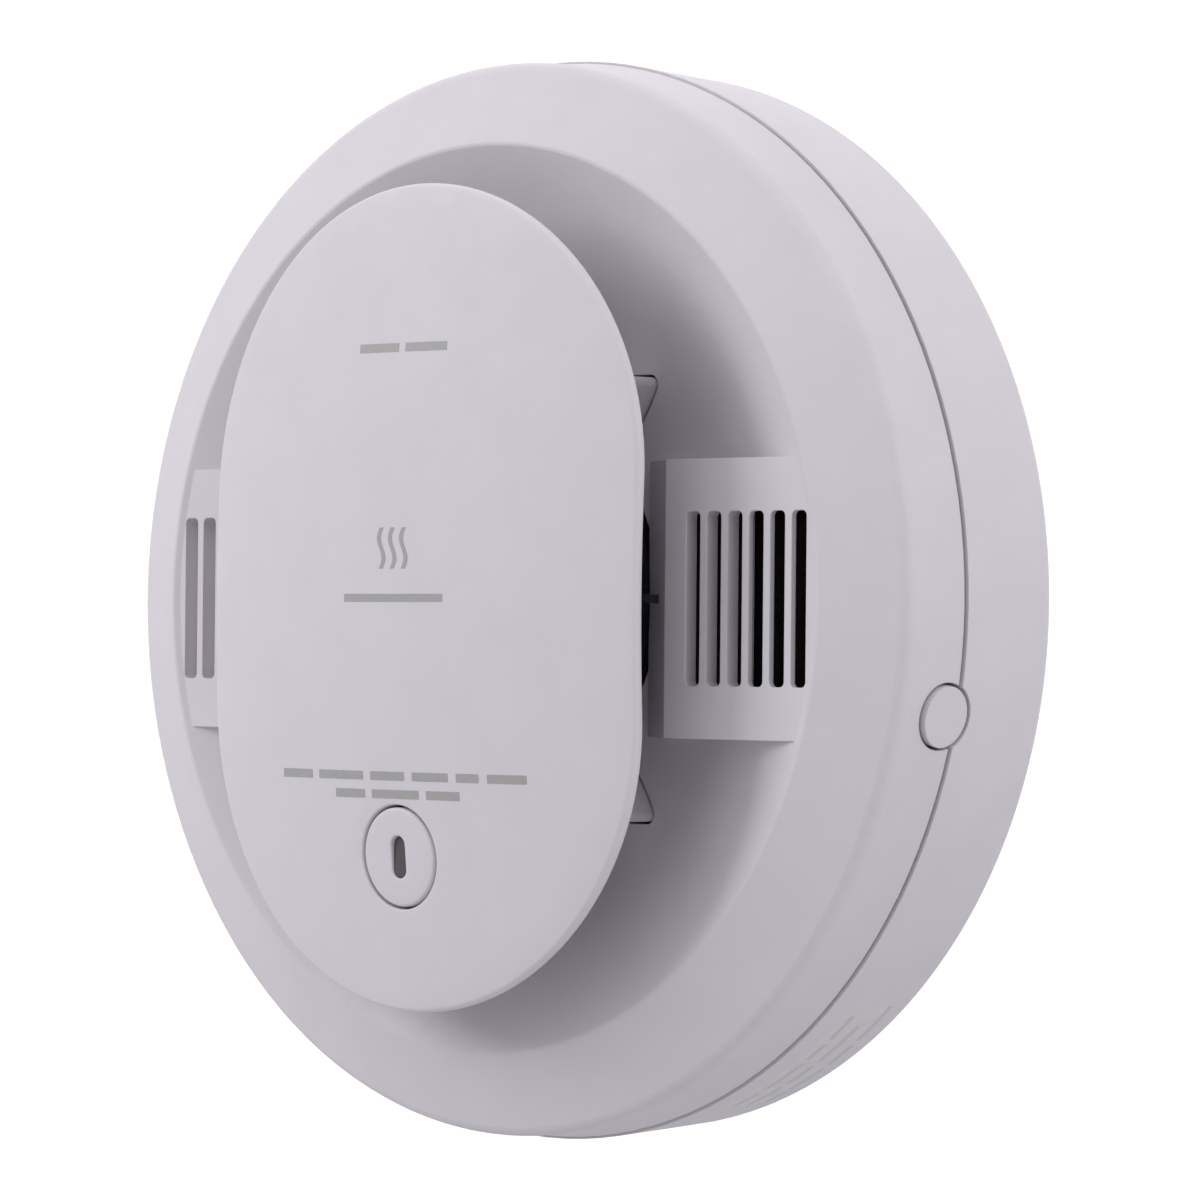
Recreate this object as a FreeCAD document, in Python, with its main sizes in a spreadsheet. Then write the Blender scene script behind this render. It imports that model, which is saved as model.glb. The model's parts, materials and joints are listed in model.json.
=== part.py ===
"""A round, wall-mounted smoke alarm on a twist-lock bracket.

Frame: origin at the centre of the wall screws on the wall plane, +Z up, the front faces -Y.
Every depth is a distance from the wall plane towards the front, so a depth d lies at y = -d.
"""
import FreeCAD
import Part
import math
import os
import Sketcher
from FreeCAD import Placement, Rotation, Vector

DIMENSIONS = {
    # Wall bracket
    "bracket_radius": 64.0,
    "bracket_opening_radius": 40.0,
    "bracket_thickness": 2.4,
    "bracket_rim_width": 1.6,
    "bracket_rim_depth": 4.4,
    "wall_slot_spacing": 100.0,
    "wall_slot_length": 8.0,
    "screw_hole_radius": 2.2,
    "box_hole_spacing": 88.9,
    # Bayonet tabs on the bracket and their slots in the rear housing
    "tab_angle": 45.0,
    "tab_half_angle": 4.0,
    "tab_neck_inner": 60.0,
    "tab_neck_outer": 61.6,
    "tab_hook_inner": 58.2,
    "tab_hook_outer": 63.4,
    "tab_hook_depth": 5.1,
    "tab_hook_thickness": 1.5,
    "twist_angle": 15.0,
    "tab_clearance_angle": 0.6,
    "tab_clearance": 0.3,
    # Rear housing
    "seam_radius": 70.0,
    "back_radius": 69.2,
    "back_depth": 0.6,
    "back_round": 2.0,
    "bracket_recess_radius": 65.2,
    "floor_depth": 2.8,
    "floor_thickness": 1.8,
    "rear_wall_inner_radius": 67.3,
    "groove_inner_radius": 39.5,
    "groove_outer_radius": 55.2,
    "groove_depth": 6.2,
    "lip_inner_radius": 65.4,
    "lip_outer_radius": 66.9,
    "lip_start_depth": 14.0,
    "lip_end_depth": 21.5,
    "lip_ramp": 1.5,
    "seam_depth": 18.4,
    "seam_gap": 0.4,
    # Front housing
    "front_seam_radius": 69.7,
    "side_flare_radius": 50.0,
    "shoulder_radius": 69.15,
    "shoulder_depth": 28.2,
    "shoulder_round": 1.9,
    "rim_radius": 58.34,
    "rim_depth": 32.8,
    "rim_round": 0.7,
    "front_wall_inner_radius": 67.2,
    "front_wall_inner_depth": 27.2,
    "shell_drop": 1.95,
    "dish_bend_radius": 28.0,
    "dish_bend_end_radius": 39.67,
    "dish_bend_end_depth": 25.92,
    "dish_thickness": 1.6,
    "dish_bend_back_radius": 40.22,
    "dish_bend_back_depth": 24.42,
    "dish_floor_radius": 30.0,
    "dish_floor_depth": 24.2,
    "chamber_hole_radius": 24.0,
    # Slotted side panels inside the dish
    "panel_depth": 32.4,
    "panel_half_height": 17.35,
    "panel_inner_x": 32.7,
    "panel_outer_radius": 58.3,
    "panel_wall": 1.6,
    "ramp_foot_x": 23.5,
    "ramp_foot_depth": 25.5,
    "hollow_inner_x": 34.0,
    "hollow_outer_radius": 56.6,
    "horn_hollow_depth": 30.2,
    "blind_hollow_depth": 29.0,
    "thin_start_x": 45.9,
    "thin_skin": 0.8,
    "slot_count": 6,
    "slot_first_x": 37.4,
    "slot_pitch": 3.52,
    "slot_width": 2.4,
    "slot_height": 21.6,
    "slot_round": 0.7,
    "blind_slot_depth": 2.6,
    # Front cover
    "cover_half_width": 38.1,
    "cover_half_height": 52.6,
    "cover_apex_depth": 48.1,
    "crown_ring_radius": 170.0,
    "crown_tube_radius": 160.0,
    "cover_thickness": 1.5,
    "post_corner_x": 24.6,
    "post_corner_z": 28.1,
    "post_inner_x": 15.6,
    "post_point_x": 19.2,
    "post_point_z": 20.6,
    "post_round": 0.8,
    "post_gap": 0.35,
    "post_foot_depth": 17.0,
    "post_hole_radius": 6.4,
    "post_hole_x": 20.0,
    "post_hole_z": 25.6,
    # Test button on the cover
    "button_z": -32.9,
    "button_radius": 6.3,
    "button_gap": 0.35,
    "button_cap_depth": 43.2,
    "button_stem_radius": 3.2,
    "button_stem_bore": 1.6,
    "button_foot_radius": 5.8,
    "button_foot_depth": 25.3,
    "button_foot_thickness": 1.2,
    "window_width": 2.4,
    "window_height": 5.4,
    "window_recess": 0.5,
    "window_depth": 44.6,
    "light_pipe_radius": 1.15,
    "light_pipe_depth": 24.3,
    "skirt_wall": 1.25,
    "skirt_depth": 40.0,
    "boss_inner_radius": 6.2,
    "boss_outer_radius": 7.6,
    "boss_ledge_depth": 29.0,
    "boss_ledge_thickness": 1.2,
    "button_spring_radius": 4.4,
    "button_spring_wire": 0.3,
    "button_spring_turns": 6,
    # Release button on the side
    "release_angle": 11.8,
    "release_depth": 20.2,
    "release_radius": 3.85,
    "release_gap": 0.4,
    "release_face_radius": 69.75,
    "release_flange_radius": 5.0,
    "release_flange_start": 65.6,
    "release_flange_end": 66.6,
    "release_lip_hole_radius": 5.5,
    "release_stem_radius": 1.5,
    "release_stem_start": 58.9,
    "guide_start": 58.6,
    "guide_thickness": 1.6,
    "guide_width": 12.0,
    "guide_top_depth": 24.2,
    "outer_reach": 77.0,
    "release_spring_radius": 2.5,
    "release_spring_wire": 0.25,
    "release_spring_turns": 4,
    # Battery bay and door
    "bay_half_length": 28.6,
    "bay_half_height": 16.4,
    "bay_wall": 1.5,
    "bay_ceiling_depth": 19.3,
    "bay_ceiling": 1.0,
    "door_gap": 0.35,
    "door_depth": 2.9,
    "door_thickness": 1.4,
    "hinge_z": 14.35,
    "hinge_depth": 4.3,
    "knuckle_radius": 1.7,
    "pin_radius": 0.8,
    "pin_clearance": 0.08,
    "lug_width": 12.0,
    "lug_thickness": 1.6,
    "lug_height": 3.4,
    "cell_radius": 7.25,
    "cell_length": 49.2,
    "cell_nub_radius": 2.7,
    "cell_nub_length": 1.3,
    "cell_depth": 11.9,
    "cell_z": 8.0,
    "contact_thickness": 0.4,
    "contact_width": 10.0,
    "bridge_height": 29.0,
    "terminal_height": 11.0,
    "contact_spring_length": 5.4,
    "contact_spring_radius": 3.2,
    "contact_spring_wire": 0.35,
    "contact_spring_turns": 3,
    # Circuit board and electronics
    "board_radius": 57.0,
    "board_depth": 20.6,
    "board_thickness": 1.6,
    "screw_post_x": 42.0,
    "screw_post_z": 27.0,
    "screw_post_radius": 3.6,
    "screw_shank_radius": 1.25,
    "screw_clearance": 0.1,
    "screw_head_radius": 2.6,
    "screw_head_depth": 8.0,
    "screw_head_thickness": 1.6,
    "screw_end_depth": 26.4,
    "screw_slot_length": 3.4,
    "screw_slot_width": 0.7,
    "screw_slot_depth": 0.8,
    "screw_hole_gap": 0.35,
    "front_post_end": 28.0,
    "chip_x": 3.0,
    "chip_z": -27.0,
    "chip_size": 7.0,
    "chip_thickness": 1.5,
    "chip_leads": 6,
    "chip_lead_reach": 4.0,
    "chip_lead_pitch": 1.15,
    "chip_lead_length": 2.0,
    "chip_lead_width": 0.45,
    "chip_lead_thickness": 0.9,
    "main_can_x": 8.0,
    "main_can_z": 34.0,
    "main_can_radius": 4.0,
    "main_can_height": 9.0,
    "drive_can_x": -9.0,
    "drive_can_z": -34.0,
    "drive_can_radius": 3.1,
    "drive_can_height": 8.0,
    "filter_can_x": -24.0,
    "filter_can_z": -38.0,
    "filter_can_radius": 2.5,
    "filter_can_height": 7.0,
    "bobbin_x": 26.0,
    "bobbin_z": -37.0,
    "bobbin_radius": 4.6,
    "bobbin_core_radius": 3.6,
    "bobbin_flange": 1.2,
    "bobbin_height": 8.2,
    "led_length": 3.2,
    "led_width": 1.6,
    "led_base_thickness": 0.5,
    "led_dome_length": 2.2,
    "led_height": 1.1,
    "switch_offset": 3.9,
    "switch_length": 4.2,
    "switch_width": 3.2,
    "switch_height": 2.0,
    "switch_floor": 0.3,
    "switch_well_radius": 1.3,
    "plunger_radius": 1.0,
    "plunger_start": 1.0,
    "plunger_length": 2.0,
    "label_width": 34.0,
    "label_height": 12.0,
    "label_thickness": 0.15,
    "label_z": -27.0,
    # Smoke chamber
    "chamber_radius": 22.4,
    "chamber_wall": 0.5,
    "chamber_floor": 1.6,
    "chamber_base_radius": 23.2,
    "chamber_cap_depth": 39.6,
    "chamber_cap_thickness": 1.8,
    "vane_count": 12,
    "vane_outer_radius": 20.6,
    "vane_inner_radius": 14.6,
    "vane_thickness": 1.0,
    "vane_leg": 4.0,
    "vane_clearance": 0.3,
    "screen_window_count": 24,
    "screen_window_width": 4.4,
    "screen_margin": 1.5,
    "optic_radius": 2.5,
    "optic_length": 6.0,
    "optic_distance": 10.1,
    "optic_depth": 30.5,
    "optic_angle": 140.0,
    "saddle_radius": 1.9,
    "flange_step": 0.4,
    "flange_thickness": 1.0,
    "shield_distance": 17.1,
    "shield_width": 4.0,
    "shield_thickness": 0.4,
    "shield_top_depth": 34.0,
    "stop_radius": 2.2,
    "stop_height": 9.0,
    "stop_z": 7.0,
    "fin_reach": 29.8,
    "fin_width": 1.1,
    "fin_depth": 30.4,
    "fin_thickness": 1.4,
    "pillar_start": 21.0,
    "pillar_width": 2.4,
    # Horn
    "horn_x": 45.3,
    "horn_radius": 11.0,
    "horn_wall": 1.3,
    "horn_end_depth": 29.8,
    "horn_hole_radius": 3.5,
    "piezo_radius": 9.4,
    "piezo_depth": 26.0,
    "piezo_thickness": 0.5,
    "piezo_ledge": 0.8,
    "horn_skin": 1.0,
    "lead_spacing": 10.0,
    "lead_radius": 0.35,
    "lead_hole_radius": 0.8,
    "gasket_inner_radius": 8.7,
    "gasket_outer_radius": 10.4,
}


class Size:
    """A number together with the spreadsheet expression that drives it."""

    def __init__(self, value, text):
        self.value = value
        self.text = text

    def __add__(self, other):
        other = as_size(other)
        return Size(self.value + other.value, f"({self.text} + {other.text})")

    def __sub__(self, other):
        other = as_size(other)
        return Size(self.value - other.value, f"({self.text} - {other.text})")

    def __mul__(self, other):
        other = as_size(other)
        return Size(self.value * other.value, f"({self.text} * {other.text})")

    def __truediv__(self, other):
        other = as_size(other)
        return Size(self.value / other.value, f"({self.text} / {other.text})")

    def __neg__(self):
        return Size(-self.value, f"(0 - {self.text})")

    def root(self):
        return Size(math.sqrt(self.value), f"sqrt({self.text})")


def as_size(number):
    """Plain numbers become sizes, so that both can be mixed in a sum."""
    return number if isinstance(number, Size) else Size(float(number), f"{float(number):.6f}")


class Sizes:
    """Reads a driving dimension by its alias, as in sizes.rim_radius."""

    def __init__(self, sheet):
        self.sheet = sheet

    def __getattr__(self, alias):
        return Size(float(self.sheet.get(alias)), f"Dimensions.{alias}")


def make_sheet(doc):
    """The spreadsheet that holds every driving dimension."""
    sheet = doc.addObject("Spreadsheet::Sheet", "Dimensions")
    for row, (alias, value) in enumerate(DIMENSIONS.items(), start=1):
        sheet.set(f"A{row}", alias)
        sheet.set(f"B{row}", str(value))
        sheet.setAlias(f"B{row}", alias)
    doc.recompute()
    return sheet


def bind(thing, **sizes):
    """Sets properties and ties each one to its expression."""
    for name, size in sizes.items():
        size = as_size(size)
        setattr(thing, name, size.value)
        thing.setExpression(name, size.text)
    return thing


def move(thing, x=0.0, depth=0.0, z=0.0, turn=None):
    """Puts an object at x, z and a depth, turned by a rotation."""
    point = [as_size(x), -as_size(depth), as_size(z)]
    thing.Placement = Placement(Vector(*[size.value for size in point]), turn or Rotation())
    for letter, size in zip("xyz", point):
        thing.setExpression(f"Placement.Base.{letter}", size.text)
    return thing


# ---------------------------------------------------------------- outlines

def polar(radius, degrees):
    """The point at a radius and an angle, as a pair of sizes."""
    angle = math.radians(degrees)
    return radius * math.cos(angle), radius * math.sin(angle)


def rectangle(x, z, width, height):
    """A rectangle about its centre."""
    x, z, width, height = as_size(x), as_size(z), as_size(width) / 2, as_size(height) / 2
    left, right, low, high = x - width, x + width, z - height, z + height
    return [(left, low), (right, low), (right, high), (left, high)]


def rounded_rectangle(x, z, width, height, radius):
    """A rectangle about its centre with quarter-round corners."""
    x, z, width, height = as_size(x), as_size(z), as_size(width) / 2, as_size(height) / 2
    wide, high = width - radius, height - radius
    return [
        (x - wide, z - height), (x + wide, z - height, radius),
        (x + width, z - high), (x + width, z + high, radius),
        (x + wide, z + height), (x - wide, z + height, radius),
        (x - width, z + high), (x - width, z - high, radius),
    ]


def stadium(x, z, half_width, half_height):
    """An upright slot outline with round ends, each end as two quarter arcs."""
    x, z = as_size(x), as_size(z)
    straight = half_height - half_width
    return [
        (x + half_width, z - straight), (x + half_width, z + straight, half_width),
        (x, z + half_height, half_width), (x - half_width, z + straight),
        (x - half_width, z - straight, half_width), (x, z - half_height, half_width),
    ]


def sector(inner, outer, start, end):
    """Part of a flat ring between two angles in degrees."""
    first, second = polar(outer, start), polar(outer, end)
    third, fourth = polar(inner, end), polar(inner, start)
    return [(*first, outer), second, (*third, -inner), fourth]


def rounded_corners(corners, inner_radius, radius):
    """A convex outline whose arcs stand on the centres that the inner radius gives its corners."""
    outline = []
    points = [Vector(x.value, z.value, 0) for x, z in corners]
    for place, (x, z) in enumerate(corners):
        before = (points[place - 1] - points[place]).normalize()
        after = (points[(place + 1) % len(points)] - points[place]).normalize()
        inwards = (before + after).normalize() / math.sin(before.getAngle(after) / 2)
        centre_x, centre_z = x + inner_radius * inwards.x, z + inner_radius * inwards.y
        outline.append((centre_x - radius * before.y, centre_z + radius * before.x, radius))
        outline.append((centre_x + radius * after.y, centre_z - radius * after.x))
    return outline


def disc(x, z, radius):
    """A circle, marked by its single point with a radius."""
    return [(as_size(x), as_size(z), as_size(radius))]


# ---------------------------------------------------------------- sketches

def origin_plane(body, role):
    return next(item for item in body.Origin.OriginFeatures if item.Role == role)


def new_sketch(body, name, role, offset=0.0, turn=None):
    """A sketch on one of the body's own origin planes, lifted by an offset."""
    sketch = body.newObject("Sketcher::SketchObject", name)
    sketch.AttachmentSupport = [(origin_plane(body, role), "")]
    sketch.MapMode = "FlatFace"
    offset = as_size(offset)
    sketch.AttachmentOffset = Placement(Vector(0, 0, offset.value), turn or Rotation())
    sketch.setExpression("AttachmentOffset.Base.z", offset.text)
    return sketch


def fix_point(sketch, edge, end, x, y):
    """Ties one end of an edge, or a circle's centre, to its two coordinates."""
    for kind, axis, size in (("DistanceX", -2, x), ("DistanceY", -1, y)):
        if abs(size.value) < 1e-9:
            sketch.addConstraint(Sketcher.Constraint("PointOnObject", edge, end, axis))
        else:
            index = sketch.addConstraint(Sketcher.Constraint(kind, -1, 1, edge, end, size.value))
            sketch.setExpression(f"Constraints[{index}]", size.text)


def fix_radius(sketch, edge, radius):
    index = sketch.addConstraint(Sketcher.Constraint("Radius", edge, abs(radius.value)))
    sketch.setExpression(f"Constraints[{index}]", radius.text if radius.value > 0 else (-radius).text)


def arc_between(first, second, radius):
    """An arc of a signed radius: positive runs counter-clockwise from first to second."""
    chord = second - first
    across = Vector(-chord.y, chord.x, 0).normalize()
    reach = math.sqrt(radius ** 2 - (chord.Length / 2) ** 2)
    centre = (first + second) / 2 + across * math.copysign(reach, radius)
    start, end = (first, second) if radius > 0 else (second, first)
    angles = [math.atan2(point.y - centre.y, point.x - centre.x) for point in (start, end)]
    return Part.ArcOfCircle(Part.Circle(centre, Vector(0, 0, 1), abs(radius)), *angles)


def add_outline(sketch, outline):
    """Draws one closed outline. A point's third value bends the edge that leaves it."""
    if len(outline) == 1:
        x, y, radius = outline[0]
        circle = Part.Circle(Vector(x.value, y.value, 0), Vector(0, 0, 1), radius.value)
        edge = sketch.addGeometry(circle)
        fix_point(sketch, edge, 3, x, y)
        fix_radius(sketch, edge, radius)
        return
    outline = [tuple(as_size(value) for value in point) for point in outline]
    corners = [Vector(point[0].value, point[1].value, 0) for point in outline]
    starts, ends = [], []
    for point, first, second in zip(outline, corners, corners[1:] + corners[:1]):
        bend = point[2] if len(point) == 3 else None
        curve = arc_between(first, second, bend.value) if bend else Part.LineSegment(first, second)
        edge = sketch.addGeometry(curve)
        backwards = bend is not None and bend.value < 0
        starts.append((edge, 2 if backwards else 1))
        ends.append((edge, 1 if backwards else 2))
    for place, point in enumerate(outline):
        sketch.addConstraint(Sketcher.Constraint("Coincident", *ends[place - 1], *starts[place]))
        fix_point(sketch, *starts[place], point[0], point[1])
        if len(point) == 3:
            fix_radius(sketch, starts[place][0], point[2])


# ---------------------------------------------------------------- body features

def new_body(doc, name):
    body = doc.addObject("PartDesign::Body", name)
    body.Label = name
    return body


def revolve(body, outline):
    """Turns an outline of (radius, depth) points about the Y axis."""
    sketch = new_sketch(body, f"{body.Name}_profile", "XY_Plane", turn=Rotation(Vector(0, 0, 1), 180))
    add_outline(sketch, outline)
    feature = body.newObject("PartDesign::Revolution", f"{body.Name}_turned")
    feature.Profile = sketch
    feature.ReferenceAxis = (sketch, ["V_Axis"])
    feature.Angle = 360
    return feature


def pad(body, name, outlines, start, end):
    """Adds material between two depths."""
    sketch = new_sketch(body, f"{name}_sketch", "XZ_Plane", start)
    for outline in outlines:
        add_outline(sketch, outline)
    feature = body.newObject("PartDesign::Pad", name)
    feature.Profile = sketch
    bind(feature, Length=as_size(end) - start)
    return feature


def pocket(body, name, outlines, start, end):
    """Removes material between two depths."""
    sketch = new_sketch(body, f"{name}_sketch", "XZ_Plane", end)
    for outline in outlines:
        add_outline(sketch, outline)
    feature = body.newObject("PartDesign::Pocket", name)
    feature.Profile = sketch
    bind(feature, Length=as_size(end) - start)
    return feature


def side_pocket(body, name, outline, half_height):
    """Removes an (x, depth) outline through the body along Z, up to a half height each way."""
    sketch = new_sketch(body, f"{name}_sketch", "XY_Plane", turn=Rotation(Vector(1, 0, 0), 180))
    add_outline(sketch, outline)
    feature = body.newObject("PartDesign::Pocket", name)
    feature.Profile = sketch
    feature.Midplane = True
    bind(feature, Length=as_size(half_height) * 2)
    return feature


def pattern_around(body, feature, count):
    """Repeats a feature evenly about the Y axis."""
    pattern = body.newObject("PartDesign::PolarPattern", f"{feature.Name}_ring")
    pattern.Originals = [feature]
    pattern.Axis = (feature.Profile[0], ["N_Axis"])
    pattern.Angle = 360
    pattern.Occurrences = int(as_size(count).value)
    body.Tip = pattern
    return pattern


def pattern_along(body, feature, count, pitch, backwards=False):
    """Repeats a feature along X at a pitch."""
    pattern = body.newObject("PartDesign::LinearPattern", f"{feature.Name}_row")
    pattern.Originals = [feature]
    pattern.Direction = (feature.Profile[0], ["H_Axis"])
    pattern.Reversed = backwards
    pattern.Mode = "Extent"
    pattern.Occurrences = int(count.value)
    bind(pattern, Length=pitch * (count.value - 1))
    body.Tip = pattern
    return pattern


def round_edges(body, feature, name, radius, test):
    """Fillets the edges of a feature that pass a test."""
    body.Document.recompute()
    chosen = [f"Edge{number}" for number, edge in enumerate(feature.Shape.Edges, start=1) if test(edge)]
    fillet = body.newObject("PartDesign::Fillet", name)
    fillet.Base = (feature, chosen)
    bind(fillet, Radius=radius)
    return fillet


def is_ring(radius, depth):
    """A test for full circles about the Y axis at a radius and depth."""
    def test(edge):
        curve = edge.Curve
        if not isinstance(curve, Part.Circle):
            return False
        return abs(curve.Radius - radius.value) < 0.01 and abs(curve.Center.y + depth.value) < 0.01
    return test


# ---------------------------------------------------------------- primitives and booleans

FORWARD = Rotation(Vector(1, 0, 0), 90)
ACROSS = Rotation(Vector(1, 1, 1), 120)
SIDEWAYS = Rotation(Vector(0, 1, 0), 90)


def block(doc, name, x, z, width, height, start, end):
    """A box about x and z, between two depths."""
    box = doc.addObject("Part::Box", name)
    width, height, end = as_size(width), as_size(height), as_size(end)
    bind(box, Length=width, Width=end - start, Height=height)
    return move(box, as_size(x) - width / 2, end, as_size(z) - height / 2)


def rod(doc, name, x, z, radius, start, end):
    """A cylinder along the depth."""
    cylinder = doc.addObject("Part::Cylinder", name)
    bind(cylinder, Radius=radius, Height=as_size(end) - start)
    return move(cylinder, x, start, z, FORWARD)


def bar(doc, name, start_x, end_x, depth, z, radius):
    """A cylinder along X."""
    cylinder = doc.addObject("Part::Cylinder", name)
    bind(cylinder, Radius=radius, Height=as_size(end_x) - start_x)
    return move(cylinder, start_x, depth, z, SIDEWAYS)


def radial_bar(doc, name, radius, start, end, sizes):
    """A cylinder along the release button's axis, from one distance to another."""
    cylinder = doc.addObject("Part::Cylinder", name)
    start, end = as_size(start), as_size(end)
    bind(cylinder, Radius=radius, Height=end - start)
    degrees = -sizes.release_angle.value
    x, z = polar(start, degrees)
    return move(cylinder, x, sizes.release_depth, z, Rotation(Vector(0, 1, 0), 90 - degrees))


def cut(doc, name, base, tool):
    result = doc.addObject("Part::Cut", name)
    result.Base = base
    result.Tool = tool
    return result


def join(doc, name, first, *others):
    """Fuses pieces one after the other; the last result carries the name."""
    for number, other in enumerate(others, start=1):
        last = number == len(others)
        result = doc.addObject("Part::Fuse", name if last else f"{name}_joint{number}")
        result.Base = first
        result.Tool = other
        first = result
    return first


def common(doc, name, first, second):
    result = doc.addObject("Part::Common", name)
    result.Base = first
    result.Tool = second
    return result


def group(doc, name, shapes):
    """Several separate solids in one node."""
    feature = doc.addObject("Part::Feature", name)
    feature.Shape = Part.makeCompound([shape.copy() for shape in shapes])
    return feature


def tube(doc, name, x, z, inner, outer, start, end):
    hole = rod(doc, f"{name}_bore", x, z, inner, start, end)
    return cut(doc, name, rod(doc, f"{name}_outside", x, z, outer, start, end), hole)


def coil_shape(mean_radius, wire_radius, length, turns, steps=16, sides=6):
    """A helical wire along +Z, built of flat facets between evenly spaced wire sections."""
    sections = []
    upward = Vector(0, 0, 1)
    count = int(turns * steps)
    for step in range(count + 1):
        angle = 2 * math.pi * step / steps
        outward = Vector(math.cos(angle), math.sin(angle), 0)
        height = wire_radius + (length - 2 * wire_radius) * step / count
        centre = outward * mean_radius + upward * height
        ring = []
        for side in range(sides):
            lean = 2 * math.pi * side / sides
            ring.append(centre + (outward * math.cos(lean) + upward * math.sin(lean)) * wire_radius)
        sections.append(ring)
    faces = [Part.Face(Part.makePolygon(ring + ring[:1])) for ring in (sections[0], sections[-1])]
    for first, second in zip(sections, sections[1:]):
        for side in range(sides):
            after = (side + 1) % sides
            near, far = first[side], second[after]
            for corner in (first[after], second[side]):
                faces.append(Part.Face(Part.makePolygon([near, corner, far, near])))
    solid = Part.makeSolid(Part.makeShell(faces))
    solid.fix(1e-6, 1e-6, 1e-6)
    return solid if solid.Volume > 0 else solid.reversed()


def coil(doc, name, placement, mean_radius, wire_radius, length, turns):
    """A compression spring whose outer ends stay within its length."""
    feature = doc.addObject("Part::Feature", name)
    feature.Shape = coil_shape(mean_radius, wire_radius, length, turns)
    feature.Placement = placement
    return feature


# ---------------------------------------------------------------- bracket

def mounting_bracket(doc, s):
    """Flat ring with wall slots, box holes, a stiffening rim and four bayonet tabs."""
    body = new_body(doc, "mounting_bracket")
    rim = s.bracket_opening_radius + s.bracket_rim_width
    revolve(body, [
        (s.bracket_opening_radius, 0), (s.bracket_radius, 0), (s.bracket_radius, s.bracket_thickness),
        (rim, s.bracket_thickness), (rim, s.bracket_rim_depth),
        (s.bracket_opening_radius, s.bracket_rim_depth),
    ])
    outlines = []
    for side in (-1, 1):
        half_length, half_width = s.wall_slot_length / 2, s.screw_hole_radius
        centre = s.wall_slot_spacing * (side / 2)
        outlines.append(lying_slot(centre, half_length, half_width))
        outlines.append(disc(0, s.box_hole_spacing * (side / 2), s.screw_hole_radius))
    pocket(body, "screw_openings", outlines, 0, s.bracket_thickness)
    angle, half = s.tab_angle.value, s.tab_half_angle.value
    neck = sector(s.tab_neck_inner, s.tab_neck_outer, angle - half, angle + half)
    hook = sector(s.tab_hook_inner, s.tab_hook_outer, angle - half, angle + half)
    hook_end = s.tab_hook_depth + s.tab_hook_thickness
    pattern_around(body, pad(body, "tab_neck", [neck], s.bracket_thickness, hook_end), 4)
    pattern_around(body, pad(body, "tab_hook", [hook], s.tab_hook_depth, hook_end), 4)
    return body


def lying_slot(x, half_length, half_width):
    """A slot outline along X with round ends, each end as two quarter arcs."""
    straight = half_length - half_width
    return [
        (x - straight, -half_width), (x + straight, -half_width, half_width),
        (x + half_length, 0, half_width), (x + straight, half_width),
        (x - straight, half_width, half_width), (x - half_length, 0, half_width),
    ]


# ---------------------------------------------------------------- housings

def rear_housing(doc, s):
    """Rear shell: base ring, floor with a screw-head groove, lip, bosses, battery bay and bayonet slots."""
    body = new_body(doc, "rear_housing_shell")
    seam = s.seam_depth - s.seam_gap / 2
    inside = s.floor_depth + s.floor_thickness
    groove_inside = s.groove_depth + s.floor_thickness
    turned = revolve(body, [
        (0, s.floor_depth), (s.groove_inner_radius, s.floor_depth), (s.groove_inner_radius, s.groove_depth),
        (s.groove_outer_radius, s.groove_depth), (s.groove_outer_radius, s.floor_depth),
        (s.bracket_recess_radius, s.floor_depth), (s.bracket_recess_radius, s.back_depth),
        (s.back_radius, s.back_depth), (s.seam_radius, seam), (s.lip_outer_radius, seam),
        (s.lip_outer_radius, s.lip_end_depth), (s.lip_inner_radius, s.lip_end_depth),
        (s.lip_inner_radius, s.lip_start_depth),
        (s.rear_wall_inner_radius, s.lip_start_depth - s.lip_ramp), (s.rear_wall_inner_radius, inside),
        (s.groove_outer_radius + s.floor_thickness, inside),
        (s.groove_outer_radius + s.floor_thickness, groove_inside),
        (s.groove_inner_radius - s.floor_thickness, groove_inside),
        (s.groove_inner_radius - s.floor_thickness, inside), (0, inside),
    ])
    round_edges(body, turned, "back_edge_round", s.back_round, is_ring(s.back_radius, s.back_depth))
    bay_top = s.bay_ceiling_depth + s.bay_ceiling
    outer_bay = rectangle(0, 0, (s.bay_half_length + s.bay_wall) * 2, (s.bay_half_height + s.bay_wall) * 2)
    pad(body, "bay_walls", [outer_bay], s.floor_depth, bay_top)
    inner_bay = rectangle(0, 0, s.bay_half_length * 2, s.bay_half_height * 2)
    pocket(body, "bay_hollow", [inner_bay], s.floor_depth, s.bay_ceiling_depth)
    posts = corner_outlines(s, lambda x, z: disc(x, z, s.screw_post_radius))
    pad(body, "screw_posts", posts, s.groove_depth, s.board_depth)
    shanks = corner_outlines(s, lambda x, z: disc(x, z, s.screw_shank_radius + s.screw_clearance))
    pocket(body, "screw_holes", shanks, s.groove_depth, s.board_depth)
    heads = corner_outlines(s, lambda x, z: disc(x, z, s.screw_head_radius + s.screw_clearance))
    pocket(body, "screw_recesses", heads, s.groove_depth, s.screw_head_depth + s.screw_head_thickness)
    bayonet_slots(body, s, inside)
    return finish_rear(doc, s, body, inside)


def corner_outlines(s, outline):
    """One outline at each of the four housing screws."""
    return [outline(s.screw_post_x * side, s.screw_post_z * rise) for side in (-1, 1) for rise in (-1, 1)]


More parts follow.
